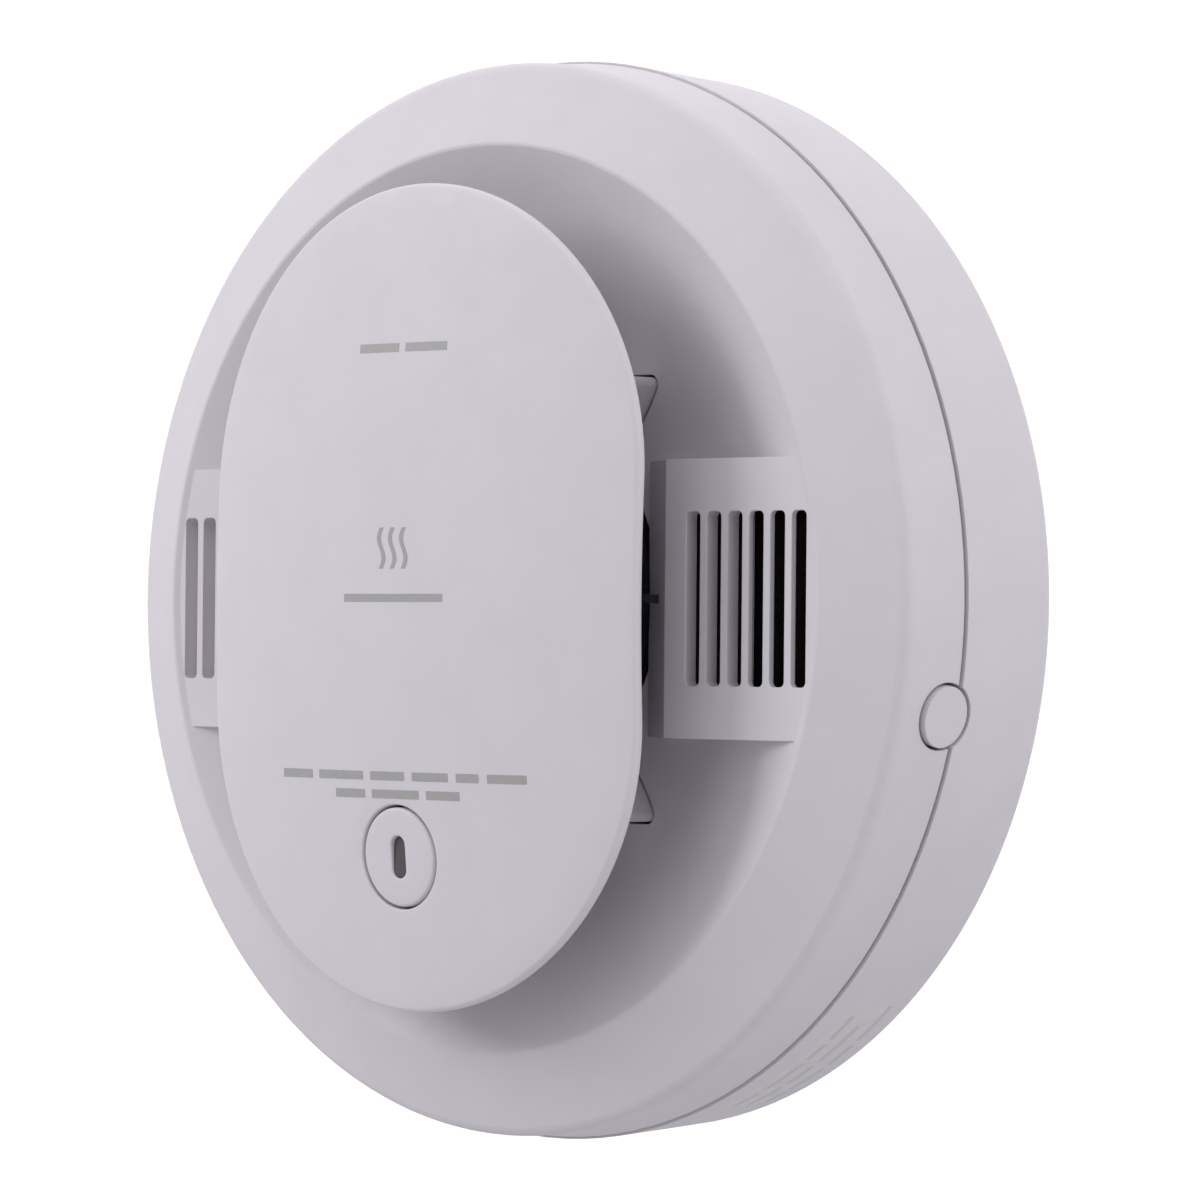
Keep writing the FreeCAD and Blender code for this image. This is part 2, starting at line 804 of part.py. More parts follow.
def bayonet_slots(body, s, inside):
    """A narrow slot for each tab's neck, ending in a wide one that lets its hook through."""
    angle, half = s.tab_angle.value, s.tab_half_angle.value + s.tab_clearance_angle.value
    opened = angle - s.twist_angle.value
    gap = s.tab_clearance
    narrow = sector(s.tab_neck_inner - gap, s.tab_neck_outer + gap, opened, angle + half)
    wide = sector(s.tab_hook_inner - gap, s.tab_hook_outer + gap, opened - half, opened + half)
    pattern_around(body, pocket(body, "neck_slot", [narrow], s.floor_depth, inside), 4)
    pattern_around(body, pocket(body, "hook_slot", [wide], s.floor_depth, inside), 4)


def finish_rear(doc, s, body, inside):
    """Adds the release button's guide wall and cuts its holes and the hinge pin's bore."""
    guide = doc.addObject("Part::Box", "release_guide")
    bind(guide, Length=s.guide_thickness, Width=s.guide_top_depth - inside, Height=s.guide_width)
    x, z = polar(s.guide_start, -s.release_angle.value)
    aside_x, aside_z = polar(s.guide_width / 2, 90 - s.release_angle.value)
    turn = Rotation(Vector(0, 1, 0), s.release_angle.value)
    move(guide, x - aside_x, s.guide_top_depth, z - aside_z, turn)
    shell = join(doc, "rear_housing_with_guide", body, guide)
    wall_start = s.guide_start + s.guide_thickness * 3
    stem_hole = s.release_stem_radius + s.tab_clearance
    bore_end = s.bay_half_length + s.bay_wall * 2
    button_hole = s.release_radius + s.release_gap
    stem_start, stem_end = s.guide_start - s.guide_thickness, s.guide_start + s.guide_thickness * 2
    holes = join(
        doc, "rear_side_holes",
        radial_bar(doc, "rear_button_hole", button_hole, wall_start, s.outer_reach, s),
        radial_bar(doc, "rear_flange_hole", s.release_lip_hole_radius, wall_start, s.lip_outer_radius, s),
        radial_bar(doc, "rear_stem_hole", stem_hole, stem_start, stem_end, s),
        bar(doc, "pin_bore", -bore_end, bore_end, s.hinge_depth, s.hinge_z, s.pin_radius),
    )
    return cut(doc, "rear_housing", shell, holes)


def front_housing(doc, s):
    """Front shell: side wall, sloping ring, dished middle, slotted side panels and button boss."""
    body = new_body(doc, "front_housing_shell")
    underside = s.dish_floor_depth - s.dish_thickness
    start = s.seam_depth + s.seam_gap / 2
    turned = revolve(body, [
        (s.front_seam_radius, start, -s.side_flare_radius), (s.shoulder_radius, s.shoulder_depth),
        (s.rim_radius, s.rim_depth), (s.dish_bend_end_radius, s.dish_bend_end_depth, -s.dish_bend_radius),
        (s.dish_floor_radius, s.dish_floor_depth),
        (s.chamber_hole_radius, s.dish_floor_depth), (s.chamber_hole_radius, underside),
        (s.dish_floor_radius, underside, s.dish_bend_radius + s.dish_thickness),
        (s.dish_bend_back_radius, s.dish_bend_back_depth),
        (s.rim_radius, s.rim_depth - s.shell_drop), (s.front_wall_inner_radius, s.front_wall_inner_depth),
        (s.front_wall_inner_radius, start),
    ])
    shoulder_ring = is_ring(s.shoulder_radius, s.shoulder_depth)
    shoulder = round_edges(body, turned, "shoulder_edge", s.shoulder_round, shoulder_ring)
    round_edges(body, shoulder, "rim_edge", s.rim_round, is_ring(s.rim_radius, s.rim_depth))
    for side, word in ((1, "right"), (-1, "left")):
        side_panel(body, s, side, word, underside)
    button_boss(body, s, underside)
    posts = corner_outlines(s, lambda x, z: disc(x, z, s.screw_post_radius))
    pad(body, "front_screw_posts", posts, s.board_depth + s.board_thickness, s.front_post_end)
    shanks = corner_outlines(s, lambda x, z: disc(x, z, s.screw_shank_radius + s.screw_clearance / 2))
    hole_end = s.screw_end_depth + s.screw_clearance * 2
    pocket(body, "front_screw_holes", shanks, s.board_depth + s.board_thickness, hole_end)
    gaps = [post_outline(s, side, rise, s.post_gap) for side in (-1, 1) for rise in (-1, 1)]
    pocket(body, "post_openings", gaps, underside - 1, s.dish_floor_depth + 4)
    button_hole = s.release_radius + s.release_gap
    hole = radial_bar(doc, "front_button_hole", button_hole, s.guide_start, s.outer_reach, s)
    return cut(doc, "front_housing", body, hole)


def panel_outline(s, side, inner, radius, half_height):
    """A panel seen from the front: a straight inner end and an outer end round about the Y axis."""
    outer = (radius * radius - half_height * half_height).root()
    high = half_height * side
    inner, outer = inner * side, outer * side
    return [(inner, -high), (outer, -high, radius), (outer, high), (inner, high)]


def side_panel(body, s, side, word, underside):
    """One raised panel with its ramp, its hollow behind and its row of slots."""
    block_outline = panel_outline(s, side, s.ramp_foot_x, s.panel_outer_radius, s.panel_half_height)
    pad(body, f"{word}_panel", [block_outline], underside, s.panel_depth)
    ramp = [
        (s.ramp_foot_x * side, s.ramp_foot_depth), (s.panel_inner_x * side, s.panel_depth),
        (s.panel_inner_x * side, s.panel_depth + 1), (s.ramp_foot_x * side - side, s.panel_depth + 1),
        (s.ramp_foot_x * side - side, s.ramp_foot_depth),
    ]
    side_pocket(body, f"{word}_ramp", ramp, s.panel_half_height + 1)
    chamber = disc(0, 0, s.chamber_hole_radius)
    pocket(body, f"{word}_chamber_clearance", [chamber], underside - 1, s.panel_depth)
    inner_half = s.panel_half_height - s.panel_wall
    hollow_depth = s.horn_hollow_depth if side > 0 else s.blind_hollow_depth
    hollow = panel_outline(s, side, s.hollow_inner_x, s.hollow_outer_radius, inner_half)
    pocket(body, f"{word}_hollow", [hollow], underside - 1, hollow_depth)
    if side > 0:
        thin = panel_outline(s, side, s.thin_start_x, s.hollow_outer_radius, s.slot_height / 2 + 1.2)
        pocket(body, "right_thin_skin", [thin], s.horn_hollow_depth - 1, s.panel_depth - s.thin_skin)
    slot = rounded_rectangle(s.slot_first_x * side, 0, s.slot_width, s.slot_height, s.slot_round)
    bottom = s.horn_hollow_depth - 1 if side > 0 else s.panel_depth - s.blind_slot_depth
    first = pocket(body, f"{word}_slot", [slot], bottom, s.panel_depth)
    pattern_along(body, first, s.slot_count, s.slot_pitch, backwards=side < 0)


def button_boss(body, s, underside):
    """A short tube in the dish that guides the test button's stem over the switch."""
    ledge_end = s.boss_ledge_depth + s.boss_ledge_thickness
    pad(body, "button_boss", [disc(0, s.button_z, s.boss_outer_radius)], underside, ledge_end)
    hollow = disc(0, s.button_z, s.boss_inner_radius)
    pocket(body, "button_boss_hollow", [hollow], underside - 1, s.boss_ledge_depth)
    stem_hole = disc(0, s.button_z, s.button_stem_radius + s.tab_clearance)
    pocket(body, "button_stem_hole", [stem_hole], s.boss_ledge_depth - 1, ledge_end)


def post_outline(s, side, rise, gap=0.0):
    """The rounded triangle of one cover post, grown by a gap, wound counter-clockwise."""
    corner = (s.post_corner_x * side, s.post_corner_z * rise)
    inner = (s.post_inner_x * side, s.post_corner_z * rise)
    point = (s.post_point_x * side, s.post_point_z * rise)
    corners = [corner, inner, point] if side * rise > 0 else [corner, point, inner]
    return rounded_corners(corners, s.post_round, s.post_round + gap)


# ---------------------------------------------------------------- cover and test button

def crown_depth(s, x, z):
    """The depth of the cover's crowned face at a place on it."""
    across = (s.crown_tube_radius * s.crown_tube_radius - x * x).root() + s.crown_ring_radius
    return s.cover_apex_depth - s.crown_ring_radius - s.crown_tube_radius + (across * across - z * z).root()


def crown(doc, s, name, sunk=0.0):
    """A large torus about X whose front is the cover's crowned face, or that face sunk inwards."""
    torus = doc.addObject("Part::Torus", name)
    bind(torus, Radius1=s.crown_ring_radius, Radius2=s.crown_tube_radius - sunk)
    return move(torus, 0, s.cover_apex_depth - s.crown_ring_radius - s.crown_tube_radius, 0, ACROSS)


def front_cover(doc, s):
    """Crowned stadium plate on four posts, with the test button's hole and skirt."""
    outline = stadium(0, 0, s.cover_half_width, s.cover_half_height)
    skirt = disc(0, s.button_z, s.button_radius + s.button_gap + s.skirt_wall)
    plate = new_body(doc, "cover_plate")
    pad(plate, "cover_blank", [outline], s.skirt_depth, s.cover_apex_depth)
    shell = cut(doc, "cover_shell", plate, crown(doc, s, "cover_inside", s.cover_thickness))
    supports = new_body(doc, "cover_supports")
    pad(supports, "button_skirt", [skirt], s.skirt_depth, s.cover_apex_depth)
    posts = [post_outline(s, side, rise) for side in (-1, 1) for rise in (-1, 1)]
    pad(supports, "cover_posts", posts, s.post_foot_depth, s.cover_apex_depth)
    blank = join(doc, "cover_with_supports", shell, supports)
    trimmed = common(doc, "cover_trimmed", blank, crown(doc, s, "cover_outside"))
    hole_start = s.skirt_depth - s.skirt_wall
    hole_radius = s.button_radius + s.button_gap
    hole = rod(doc, "button_hole", 0, s.button_z, hole_radius, hole_start, s.cover_apex_depth)
    return cut(doc, "front_cover", trimmed, hole)


def test_button(doc, s):
    """Round cap that follows the crown, on a hollow stem with a foot over the switch."""
    blank = rod(doc, "button_blank", 0, s.button_z, s.button_radius, s.button_cap_depth, s.cover_apex_depth)
    cap = common(doc, "button_cap", blank, crown(doc, s, "button_crown"))
    foot_end = s.button_foot_depth + s.button_foot_thickness
    stem_end = s.button_cap_depth + s.window_recess
    stem = rod(doc, "button_stem", 0, s.button_z, s.button_stem_radius, s.button_foot_depth, stem_end)
    foot = rod(doc, "button_foot", 0, s.button_z, s.button_foot_radius, s.button_foot_depth, foot_end)
    solid = join(doc, "button_solid", cap, stem, foot)
    bore = rod(doc, "button_bore", 0, s.button_z, s.button_stem_bore, s.button_foot_depth, s.window_depth)
    window = window_body(doc, s, "button_window", s.window_depth, s.cover_apex_depth)
    return cut(doc, "test_button", solid, join(doc, "button_openings", bore, window))


def window_body(doc, s, name, start, end):
    """An upright stadium prism about the button's centre."""
    body = new_body(doc, name)
    pad(body, f"{name}_pad", [stadium(0, s.button_z, s.window_width / 2, s.window_height / 2)], start, end)
    return body


def button_lens(doc, s):
    """Smoked lens in the button with the light pipe that reaches down to the lamp."""
    face = crown_depth(s, as_size(0), s.button_z) - s.window_recess
    head = window_body(doc, s, "lens_head", s.window_depth, face)
    pipe_end = s.window_depth + s.window_recess
    pipe = rod(doc, "light_pipe", 0, s.button_z, s.light_pipe_radius, s.light_pipe_depth, pipe_end)
    return join(doc, "button_lens", head, pipe)


def button_spring(doc, s):
    """Return spring between the boss ledge and the underside of the cap."""
    start = s.boss_ledge_depth.value + s.boss_ledge_thickness.value
    length = s.button_cap_depth.value - start
    place = Placement(Vector(0, -start, s.button_z.value), FORWARD)
    radius, wire = s.button_spring_radius.value, s.button_spring_wire.value
    return coil(doc, "button_spring", place, radius, wire, length, s.button_spring_turns.value)


# ---------------------------------------------------------------- release button

def release_button(doc, s):
    """Flush round button in the side wall with a retaining flange and a guided stem."""
    face_start = s.release_depth - s.release_radius * 2
    face_end = s.release_depth + s.release_radius * 2
    head = radial_bar(doc, "release_head_blank", s.release_radius, s.release_flange_end, s.outer_reach, s)
    barrel = rod(doc, "release_face_barrel", 0, 0, s.release_face_radius, face_start, face_end)
    head = common(doc, "release_head", head, barrel)
    start, end = s.release_flange_start, s.release_flange_end
    flange = radial_bar(doc, "release_flange", s.release_flange_radius, start, end, s)
    stem = radial_bar(doc, "release_stem", s.release_stem_radius, s.release_stem_start, start, s)
    return join(doc, "release_button", head, flange, stem)


def release_spring(doc, s):
    """Return spring on the stem between the guide wall and the flange."""
    start = s.guide_start.value + s.guide_thickness.value
    length = s.release_flange_start.value - start
    degrees = -s.release_angle.value
    x, z = polar(start, degrees)
    place = Placement(Vector(x, -s.release_depth.value, z), Rotation(Vector(0, 1, 0), 90 - degrees))
    radius, wire = s.release_spring_radius.value, s.release_spring_wire.value
    return coil(doc, "release_spring", place, radius, wire, length, s.release_spring_turns.value)


# ---------------------------------------------------------------- battery bay

def battery_door(doc, s):
    """Flat door with a full-width knuckle along its top edge and a finger lug below."""
    half_length = s.bay_half_length - s.door_gap
    bottom = -s.bay_half_height + s.door_gap
    height = s.hinge_z - bottom
    plate = block(doc, "door_plate", 0, (s.hinge_z + bottom) / 2, half_length * 2, height,
                  s.door_depth, s.door_depth + s.door_thickness)
    depth, z = s.hinge_depth, s.hinge_z
    knuckle = bar(doc, "door_knuckle", -half_length, half_length, depth, z, s.knuckle_radius)
    lug_z = bottom + s.lug_thickness / 2
    lug_end = s.door_depth + s.lug_height
    lug = block(doc, "door_lug", 0, lug_z, s.lug_width, s.lug_thickness, s.door_depth, lug_end)
    solid = join(doc, "door_solid", plate, knuckle, lug)
    bore = bar(doc, "door_bore", -half_length, half_length, depth, z, s.pin_radius + s.pin_clearance)
    return cut(doc, "battery_door", solid, bore)


def door_hinge_pin(doc, s):
    length = s.bay_half_length + s.bay_wall
    return bar(doc, "door_hinge_pin", -length, length, s.hinge_depth, s.hinge_z, s.pin_radius)


def battery_cell(doc, s, name, rise):
    """One cell: a can and its raised contact, which points right above and left below."""
    spring_side = s.bay_half_length - s.contact_thickness - s.contact_spring_length
    near = -spring_side if rise > 0 else spring_side - s.cell_length
    z = s.cell_z * rise
    can = bar(doc, f"{name}_can", near, near + s.cell_length, s.cell_depth, z, s.cell_radius)
    nub_start = near + s.cell_length if rise > 0 else near - s.cell_nub_length
    nub_end = nub_start + s.cell_nub_length
    nub = bar(doc, f"{name}_nub", nub_start, nub_end, s.cell_depth, z, s.cell_nub_radius)
    return join(doc, name, can, nub)


def battery_contacts(doc, s):
    """The plate that links both cells on the left and the two terminals on the right."""
    plate_x = s.bay_half_length - s.contact_thickness / 2
    low, high = s.cell_depth - s.contact_width / 2, s.cell_depth + s.contact_width / 2
    bridge = block(doc, "battery_bridge", -plate_x, 0, s.contact_thickness, s.bridge_height, low, high)
    plates = []
    for word, rise in (("upper", 1), ("lower", -1)):
        name, z = f"terminal_{word}", s.cell_z * rise
        plates.append(block(doc, name, plate_x, z, s.contact_thickness, s.terminal_height, low, high))
    doc.recompute()
    return bridge, group(doc, "battery_terminals", [plate.Shape for plate in plates])


def battery_springs(doc, s):
    """The two contact springs behind the flat ends of the cells."""
    start = s.bay_half_length.value - s.contact_thickness.value
    length = s.contact_spring_length.value
    radius, wire = s.contact_spring_radius.value, s.contact_spring_wire.value
    shapes = []
    for rise in (1, -1):
        shape = coil_shape(radius, wire, length, s.contact_spring_turns.value)
        turn = Rotation(Vector(0, 1, 0), 90 * rise)
        shape.Placement = Placement(Vector(-start * rise, -s.cell_depth.value, s.cell_z.value * rise), turn)
        shapes.append(shape)
    return group(doc, "battery_springs", shapes)


# ---------------------------------------------------------------- board and electronics

def main_board(doc, s):
    """Round board with screw holes, post openings and lead holes."""
    body = new_body(doc, "main_board")
    end = s.board_depth + s.board_thickness
    pad(body, "board_disc", [disc(0, 0, s.board_radius)], s.board_depth, end)
    openings = corner_outlines(s, lambda x, z: disc(x, z, s.screw_shank_radius + s.screw_hole_gap))
    for side in (-1, 1):
        for rise in (-1, 1):
            openings.append(disc(s.post_hole_x * side, s.post_hole_z * rise, s.post_hole_radius))
    pocket(body, "board_openings", openings, s.board_depth, end)
    return body


def microcontroller(doc, s):
    """Square chip on the board's rear side with two rows of leads."""
    size, rear = s.chip_size, s.board_depth
    pieces = [block(doc, "chip_case", s.chip_x, s.chip_z, size, size, rear - s.chip_thickness, rear)]
    count = int(s.chip_leads.value)
    for side in (-1, 1):
        x = s.chip_x + s.chip_lead_reach * side
        for number in range(count):
            name = f"chip_lead_{side + 1}_{number}"
            z = s.chip_z + s.chip_lead_pitch * (number - (count - 1) / 2)
            pieces.append(block(doc, name, x, z, s.chip_lead_length, s.chip_lead_width,
                                rear - s.chip_lead_thickness, rear))
    return join(doc, "microcontroller", *pieces)


def capacitors(doc, s):
    """Three upright capacitors as separate cans on the board's rear side."""
    rear = s.board_depth
    cans = [
        rod(doc, "capacitor_main", s.main_can_x, s.main_can_z, s.main_can_radius,
            rear - s.main_can_height, rear),
        rod(doc, "capacitor_drive", s.drive_can_x, s.drive_can_z, s.drive_can_radius,
            rear - s.drive_can_height, rear),
        rod(doc, "capacitor_filter", s.filter_can_x, s.filter_can_z, s.filter_can_radius,
            rear - s.filter_can_height, rear),
    ]
    doc.recompute()
    return group(doc, "capacitors", [can.Shape for can in cans])


def horn_transformer(doc, s):
    """Bobbin core with flanges that steps up the horn's drive voltage."""
    x, z, wide = s.bobbin_x, s.bobbin_z, s.bobbin_radius
    foot_start = s.board_depth - s.bobbin_flange
    top_end = s.board_depth - s.bobbin_height + s.bobbin_flange
    foot = rod(doc, "transformer_foot", x, z, wide, foot_start, s.board_depth)
    core = rod(doc, "transformer_core", x, z, s.bobbin_core_radius, top_end, foot_start)
    top = rod(doc, "transformer_top", x, z, wide, s.board_depth - s.bobbin_height, top_end)
    return join(doc, "horn_transformer", foot, core, top)


def status_led(doc, s):
    """Surface lamp under the light pipe."""
    front = s.board_depth + s.board_thickness
    base_end = front + s.led_base_thickness
    base = block(doc, "led_base", 0, s.button_z, s.led_length, s.led_width, front, base_end)
    dome_end = front + s.led_height
    dome = block(doc, "led_dome", 0, s.button_z, s.led_dome_length, s.led_width, base_end, dome_end)
    return join(doc, "status_led", base, dome)


def switch_parts(doc, s):
    """Tactile switch: a low case with a bore, and the plunger that stands in it."""
    front = s.board_depth + s.board_thickness
    z = s.button_z - s.switch_offset
    case_end = front + s.switch_height
    case = block(doc, "switch_case", 0, z, s.switch_length, s.switch_width, front, case_end)
    well = rod(doc, "switch_well", 0, z, s.switch_well_radius, front + s.switch_floor, case_end)
    body = cut(doc, "switch_body", case, well)
    start = front + s.plunger_start
    plunger = rod(doc, "switch_plunger", 0, z, s.plunger_radius, start, start + s.plunger_length)
    return body, plunger


def housing_screws(doc, s):
    """Four pan-head screws that hold both housings and the board together."""
    screws = []
    for side in (-1, 1):
        for rise in (-1, 1):
            name = f"screw_{side + 1}_{rise + 1}"
            screws.append(screw(doc, s, name, s.screw_post_x * side, s.screw_post_z * rise))
    doc.recompute()
    return group(doc, "housing_screws", [piece.Shape for piece in screws])


def screw(doc, s, name, x, z):
    """One pan-head screw with a cross recess."""
    start = s.screw_head_depth
    slot_end = start + s.screw_slot_depth
    long, thin = s.screw_slot_length, s.screw_slot_width
    head = rod(doc, f"{name}_head", x, z, s.screw_head_radius, start, start + s.screw_head_thickness)
    shank = rod(doc, f"{name}_shank", x, z, s.screw_shank_radius, slot_end, s.screw_end_depth)
    drive = block(doc, f"{name}_drive", x, z, thin, long, start, slot_end)
    cross = block(doc, f"{name}_cross", x, z, long, thin, start, slot_end)
    recess = join(doc, f"{name}_recess", drive, cross)
    return cut(doc, name, join(doc, f"{name}_blank", head, shank), recess)


def rating_label(doc, s):
    """Blank label on the rear floor below the battery door."""
    start = s.floor_depth - s.label_thickness
    return block(doc, "rating_label", 0, s.label_z, s.label_width, s.label_height, start, s.floor_depth)


# ---------------------------------------------------------------- smoke chamber

def optic_place(s, side):
    """Where a lamp or sensor stands, and the angle it looks along."""
    angle = 180.0 if side == 0 else 180.0 - s.optic_angle.value
    x, z = polar(s.optic_distance, angle)
    return x, z, angle


def chamber_floor_top(s):
    return s.board_depth + s.board_thickness + s.chamber_floor


def chamber_base(doc, s):
    """Dark floor of the chamber with a saddle under each optic and a light stop between them."""
    top = chamber_floor_top(s)
    sunk = top - s.chamber_wall
    front = s.board_depth + s.board_thickness
    parts = [rod(doc, "chamber_floor", 0, 0, s.chamber_base_radius, front, top)]
    parts.append(rod(doc, "chamber_stop", 0, s.stop_z, s.stop_radius, sunk, top + s.stop_height))
    for side in (0, 1):
        x, z, angle = optic_place(s, side)
        parts.append(rod(doc, f"saddle_{side}", x, z, s.saddle_radius, sunk, s.optic_depth - s.optic_radius))
    return join(doc, "chamber_base", *parts)


def chamber_cap(doc, s):
    """Lid of the chamber with a ring of bent vanes that let smoke in and keep light out."""
    body = new_body(doc, "chamber_cap")
    lid_end = s.chamber_cap_depth + s.chamber_cap_thickness
    pad(body, "cap_disc", [disc(0, 0, s.chamber_radius)], s.chamber_cap_depth, lid_end)
    vane_start = chamber_floor_top(s) + s.vane_clearance
    first = pad(body, "vane", [vane_outline(s)], vane_start, s.chamber_cap_depth)
    pattern_around(body, first, s.vane_count)
    return body


def insect_screen(doc, s):
    """Thin ring of windows round the chamber, with a pillar and a locating fin on each side."""
    top = chamber_floor_top(s)
    inner = s.chamber_radius - s.chamber_wall
    body = new_body(doc, "insect_screen_ring")
    revolve(body, [
        (inner, top), (s.chamber_radius, top),
        (s.chamber_radius, s.chamber_cap_depth), (inner, s.chamber_cap_depth),
    ])
    pattern_around(body, screen_window(body, s, top), s.screen_window_count)
    pillar_x, pillar = (s.pillar_start + s.chamber_radius) / 2, s.chamber_radius - s.pillar_start
    fin_x, fin = (s.chamber_radius + s.fin_reach) / 2, s.fin_reach - s.chamber_radius
    fin_end = s.fin_depth + s.fin_thickness
    pieces = []
    for word, side in (("right", 1), ("left", -1)):
        x = pillar_x * side
        pieces.append(block(doc, f"pillar_{word}", x, 0, pillar, s.pillar_width, top, s.chamber_cap_depth))
        x = fin_x * side
        pieces.append(block(doc, f"fin_{word}", x, 0, fin, s.fin_width, s.fin_depth, fin_end))
    return join(doc, "insect_screen", body, *pieces)


def vane_outline(s):
    """A bent vane seen from the front: one leg towards the middle, one along the rim."""
    outer, inner = s.vane_outer_radius, s.vane_inner_radius
    half = s.vane_thickness / 2
    bend = outer - s.vane_thickness
    return [
        (inner, -half), (bend, -half), (bend, -s.vane_leg),
        (outer, -s.vane_leg), (outer, half), (inner, half),
    ]


def screen_window(body, s, top):
    """One window through the screen, cut from the side."""
    sketch = new_sketch(body, "screen_window_sketch", "YZ_Plane", s.chamber_radius + s.chamber_wall)
    middle = (s.chamber_cap_depth + top) / 2
    height = s.chamber_cap_depth - top - s.screen_margin * 2
    add_outline(sketch, [(z - middle, x) for x, z in rectangle(0, 0, s.screen_window_width, height)])
    feature = body.newObject("PartDesign::Pocket", "screen_window")
    feature.Profile = sketch
    bind(feature, Length=s.chamber_wall * 6)
    return feature


def optic(doc, s, name, side):
    """A lens-ended lamp or sensor lying on its saddle and looking at the chamber's centre."""
    x, z, angle = optic_place(s, side)
    case = doc.addObject("Part::Cylinder", f"{name}_case")
    bind(case, Radius=s.optic_radius, Height=s.optic_length)
    lens = doc.addObject("Part::Sphere", f"{name}_lens")
    bind(lens, Radius=s.optic_radius)
    flange = doc.addObject("Part::Cylinder", f"{name}_flange")
    bind(flange, Radius=s.optic_radius + s.flange_step, Height=s.flange_thickness)
    move(flange, 0, 0, s.optic_length - s.flange_thickness)
    solid = join(doc, name, case, lens, flange)
    inwards_x, inwards_z = polar(s.optic_length / 3, angle)
    return move(solid, x - inwards_x, s.optic_depth, z - inwards_z, Rotation(Vector(0, 1, 0), 90 - angle))


def photodiode_shield(doc, s):
    """Thin screen that stands behind the sensor."""
    facing = 180.0 - s.optic_angle.value
    x, z = polar(s.shield_distance, facing)
    aside_x, aside_z = polar(s.shield_width / 2, 90 + facing)
    plate = doc.addObject("Part::Box", "photodiode_shield")
    rise = s.shield_top_depth - chamber_floor_top(s)
    bind(plate, Length=s.shield_thickness, Width=rise, Height=s.shield_width)
    return move(plate, x - aside_x, s.shield_top_depth, z - aside_z, Rotation(Vector(0, 1, 0), -facing))


def horn_parts(doc, s):
    """The horn: a cup with a lid hole, the disc that sounds, its two leads and a foam ring."""
    front = s.board_depth + s.board_thickness
    floor_top = front + s.horn_skin
    lid = s.horn_end_depth - s.horn_skin
    inner = s.horn_radius - s.horn_wall
    ledge = s.piezo_radius - s.piezo_ledge
    body = new_body(doc, "horn_cup")
    revolve(body, [
        (0, front), (s.horn_radius, front), (s.horn_radius, s.horn_end_depth),
        (s.horn_hole_radius, s.horn_end_depth), (s.horn_hole_radius, lid), (inner, lid),
        (inner, s.piezo_depth), (ledge, s.piezo_depth), (ledge, floor_top), (0, floor_top),
    ])
    move(body, s.horn_x, 0, 0)
    leads, holes = [], []
    for number, z in enumerate((-s.lead_spacing / 2, s.lead_spacing / 2)):
        leads.append(rod(doc, f"piezo_lead_{number}", s.horn_x, z, s.lead_radius, front, s.piezo_depth))
        holes.append(rod(doc, f"lead_hole_{number}", s.horn_x, z, s.lead_hole_radius, front, floor_top))
    housing = cut(doc, "horn_housing", body, join(doc, "lead_holes", *holes))
    disc_end = s.piezo_depth + s.piezo_thickness
    piezo = rod(doc, "piezo_disc", s.horn_x, 0, s.piezo_radius, s.piezo_depth, disc_end)
    gasket = tube(doc, "horn_gasket", s.horn_x, 0, s.gasket_inner_radius, s.gasket_outer_radius,
                  s.horn_end_depth, s.horn_hollow_depth)
    doc.recompute()
    return housing, piezo, group(doc, "piezo_leads", [lead.Shape for lead in leads]), gasket


# ---------------------------------------------------------------- assembly

def build(doc):
    """Makes every piece and returns them in order."""
    s = Sizes(make_sheet(doc))
    pieces = [mounting_bracket(doc, s), rear_housing(doc, s), front_housing(doc, s), front_cover(doc, s)]
    pieces += [test_button(doc, s), button_lens(doc, s), button_spring(doc, s)]
    pieces += [release_button(doc, s), release_spring(doc, s)]
    pieces += [battery_door(doc, s), door_hinge_pin(doc, s)]
    pieces += [battery_cell(doc, s, "battery_upper", 1), battery_cell(doc, s, "battery_lower", -1)]
    pieces += [*battery_contacts(doc, s), battery_springs(doc, s)]
    pieces += [main_board(doc, s), microcontroller(doc, s), capacitors(doc, s), horn_transformer(doc, s)]
    pieces += [status_led(doc, s), *switch_parts(doc, s), housing_screws(doc, s), rating_label(doc, s)]
    pieces += [chamber_base(doc, s), chamber_cap(doc, s), insect_screen(doc, s)]
    pieces += [optic(doc, s, "ir_emitter", 0), optic(doc, s, "photodiode", 1)]
    pieces += [photodiode_shield(doc, s), *horn_parts(doc, s)]
    return pieces


def check(doc, pieces):
    """Stops if any object failed or any piece isn't a sound solid."""
    for thing in doc.Objects:
        if "Invalid" in thing.State or "Error" in thing.State:
            raise RuntimeError(f"{thing.Name} failed: {thing.State}")
    for piece in pieces:
        shape = piece.Shape
        if shape.isNull() or not shape.isValid() or not shape.Solids:
            raise RuntimeError(f"{piece.Label} has no valid solid")


def main():
    doc = FreeCAD.newDocument("smoke_alarm")
    pieces = build(doc)
    doc.recompute()
    check(doc, pieces)
    os.makedirs("parts", exist_ok=True)
    for piece in pieces:
        piece.Shape.exportStep(f"parts/{piece.Label}.step")
        print(piece.Label, len(piece.Shape.Solids), round(piece.Shape.Volume, 1))


main()
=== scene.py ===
"""Looks of a wall-mounted smoke alarm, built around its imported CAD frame.

Everything is in metres in the frame's own axes: the wall is the plane y = 0, the alarm's face looks
along -Y and +Z is up. A depth is a distance from the wall, so a depth d lies at y = -d.
"""
import json
import math

import bmesh
import bpy
from mathutils import Matrix, Vector
from mathutils.geometry import delaunay_2d_cdt


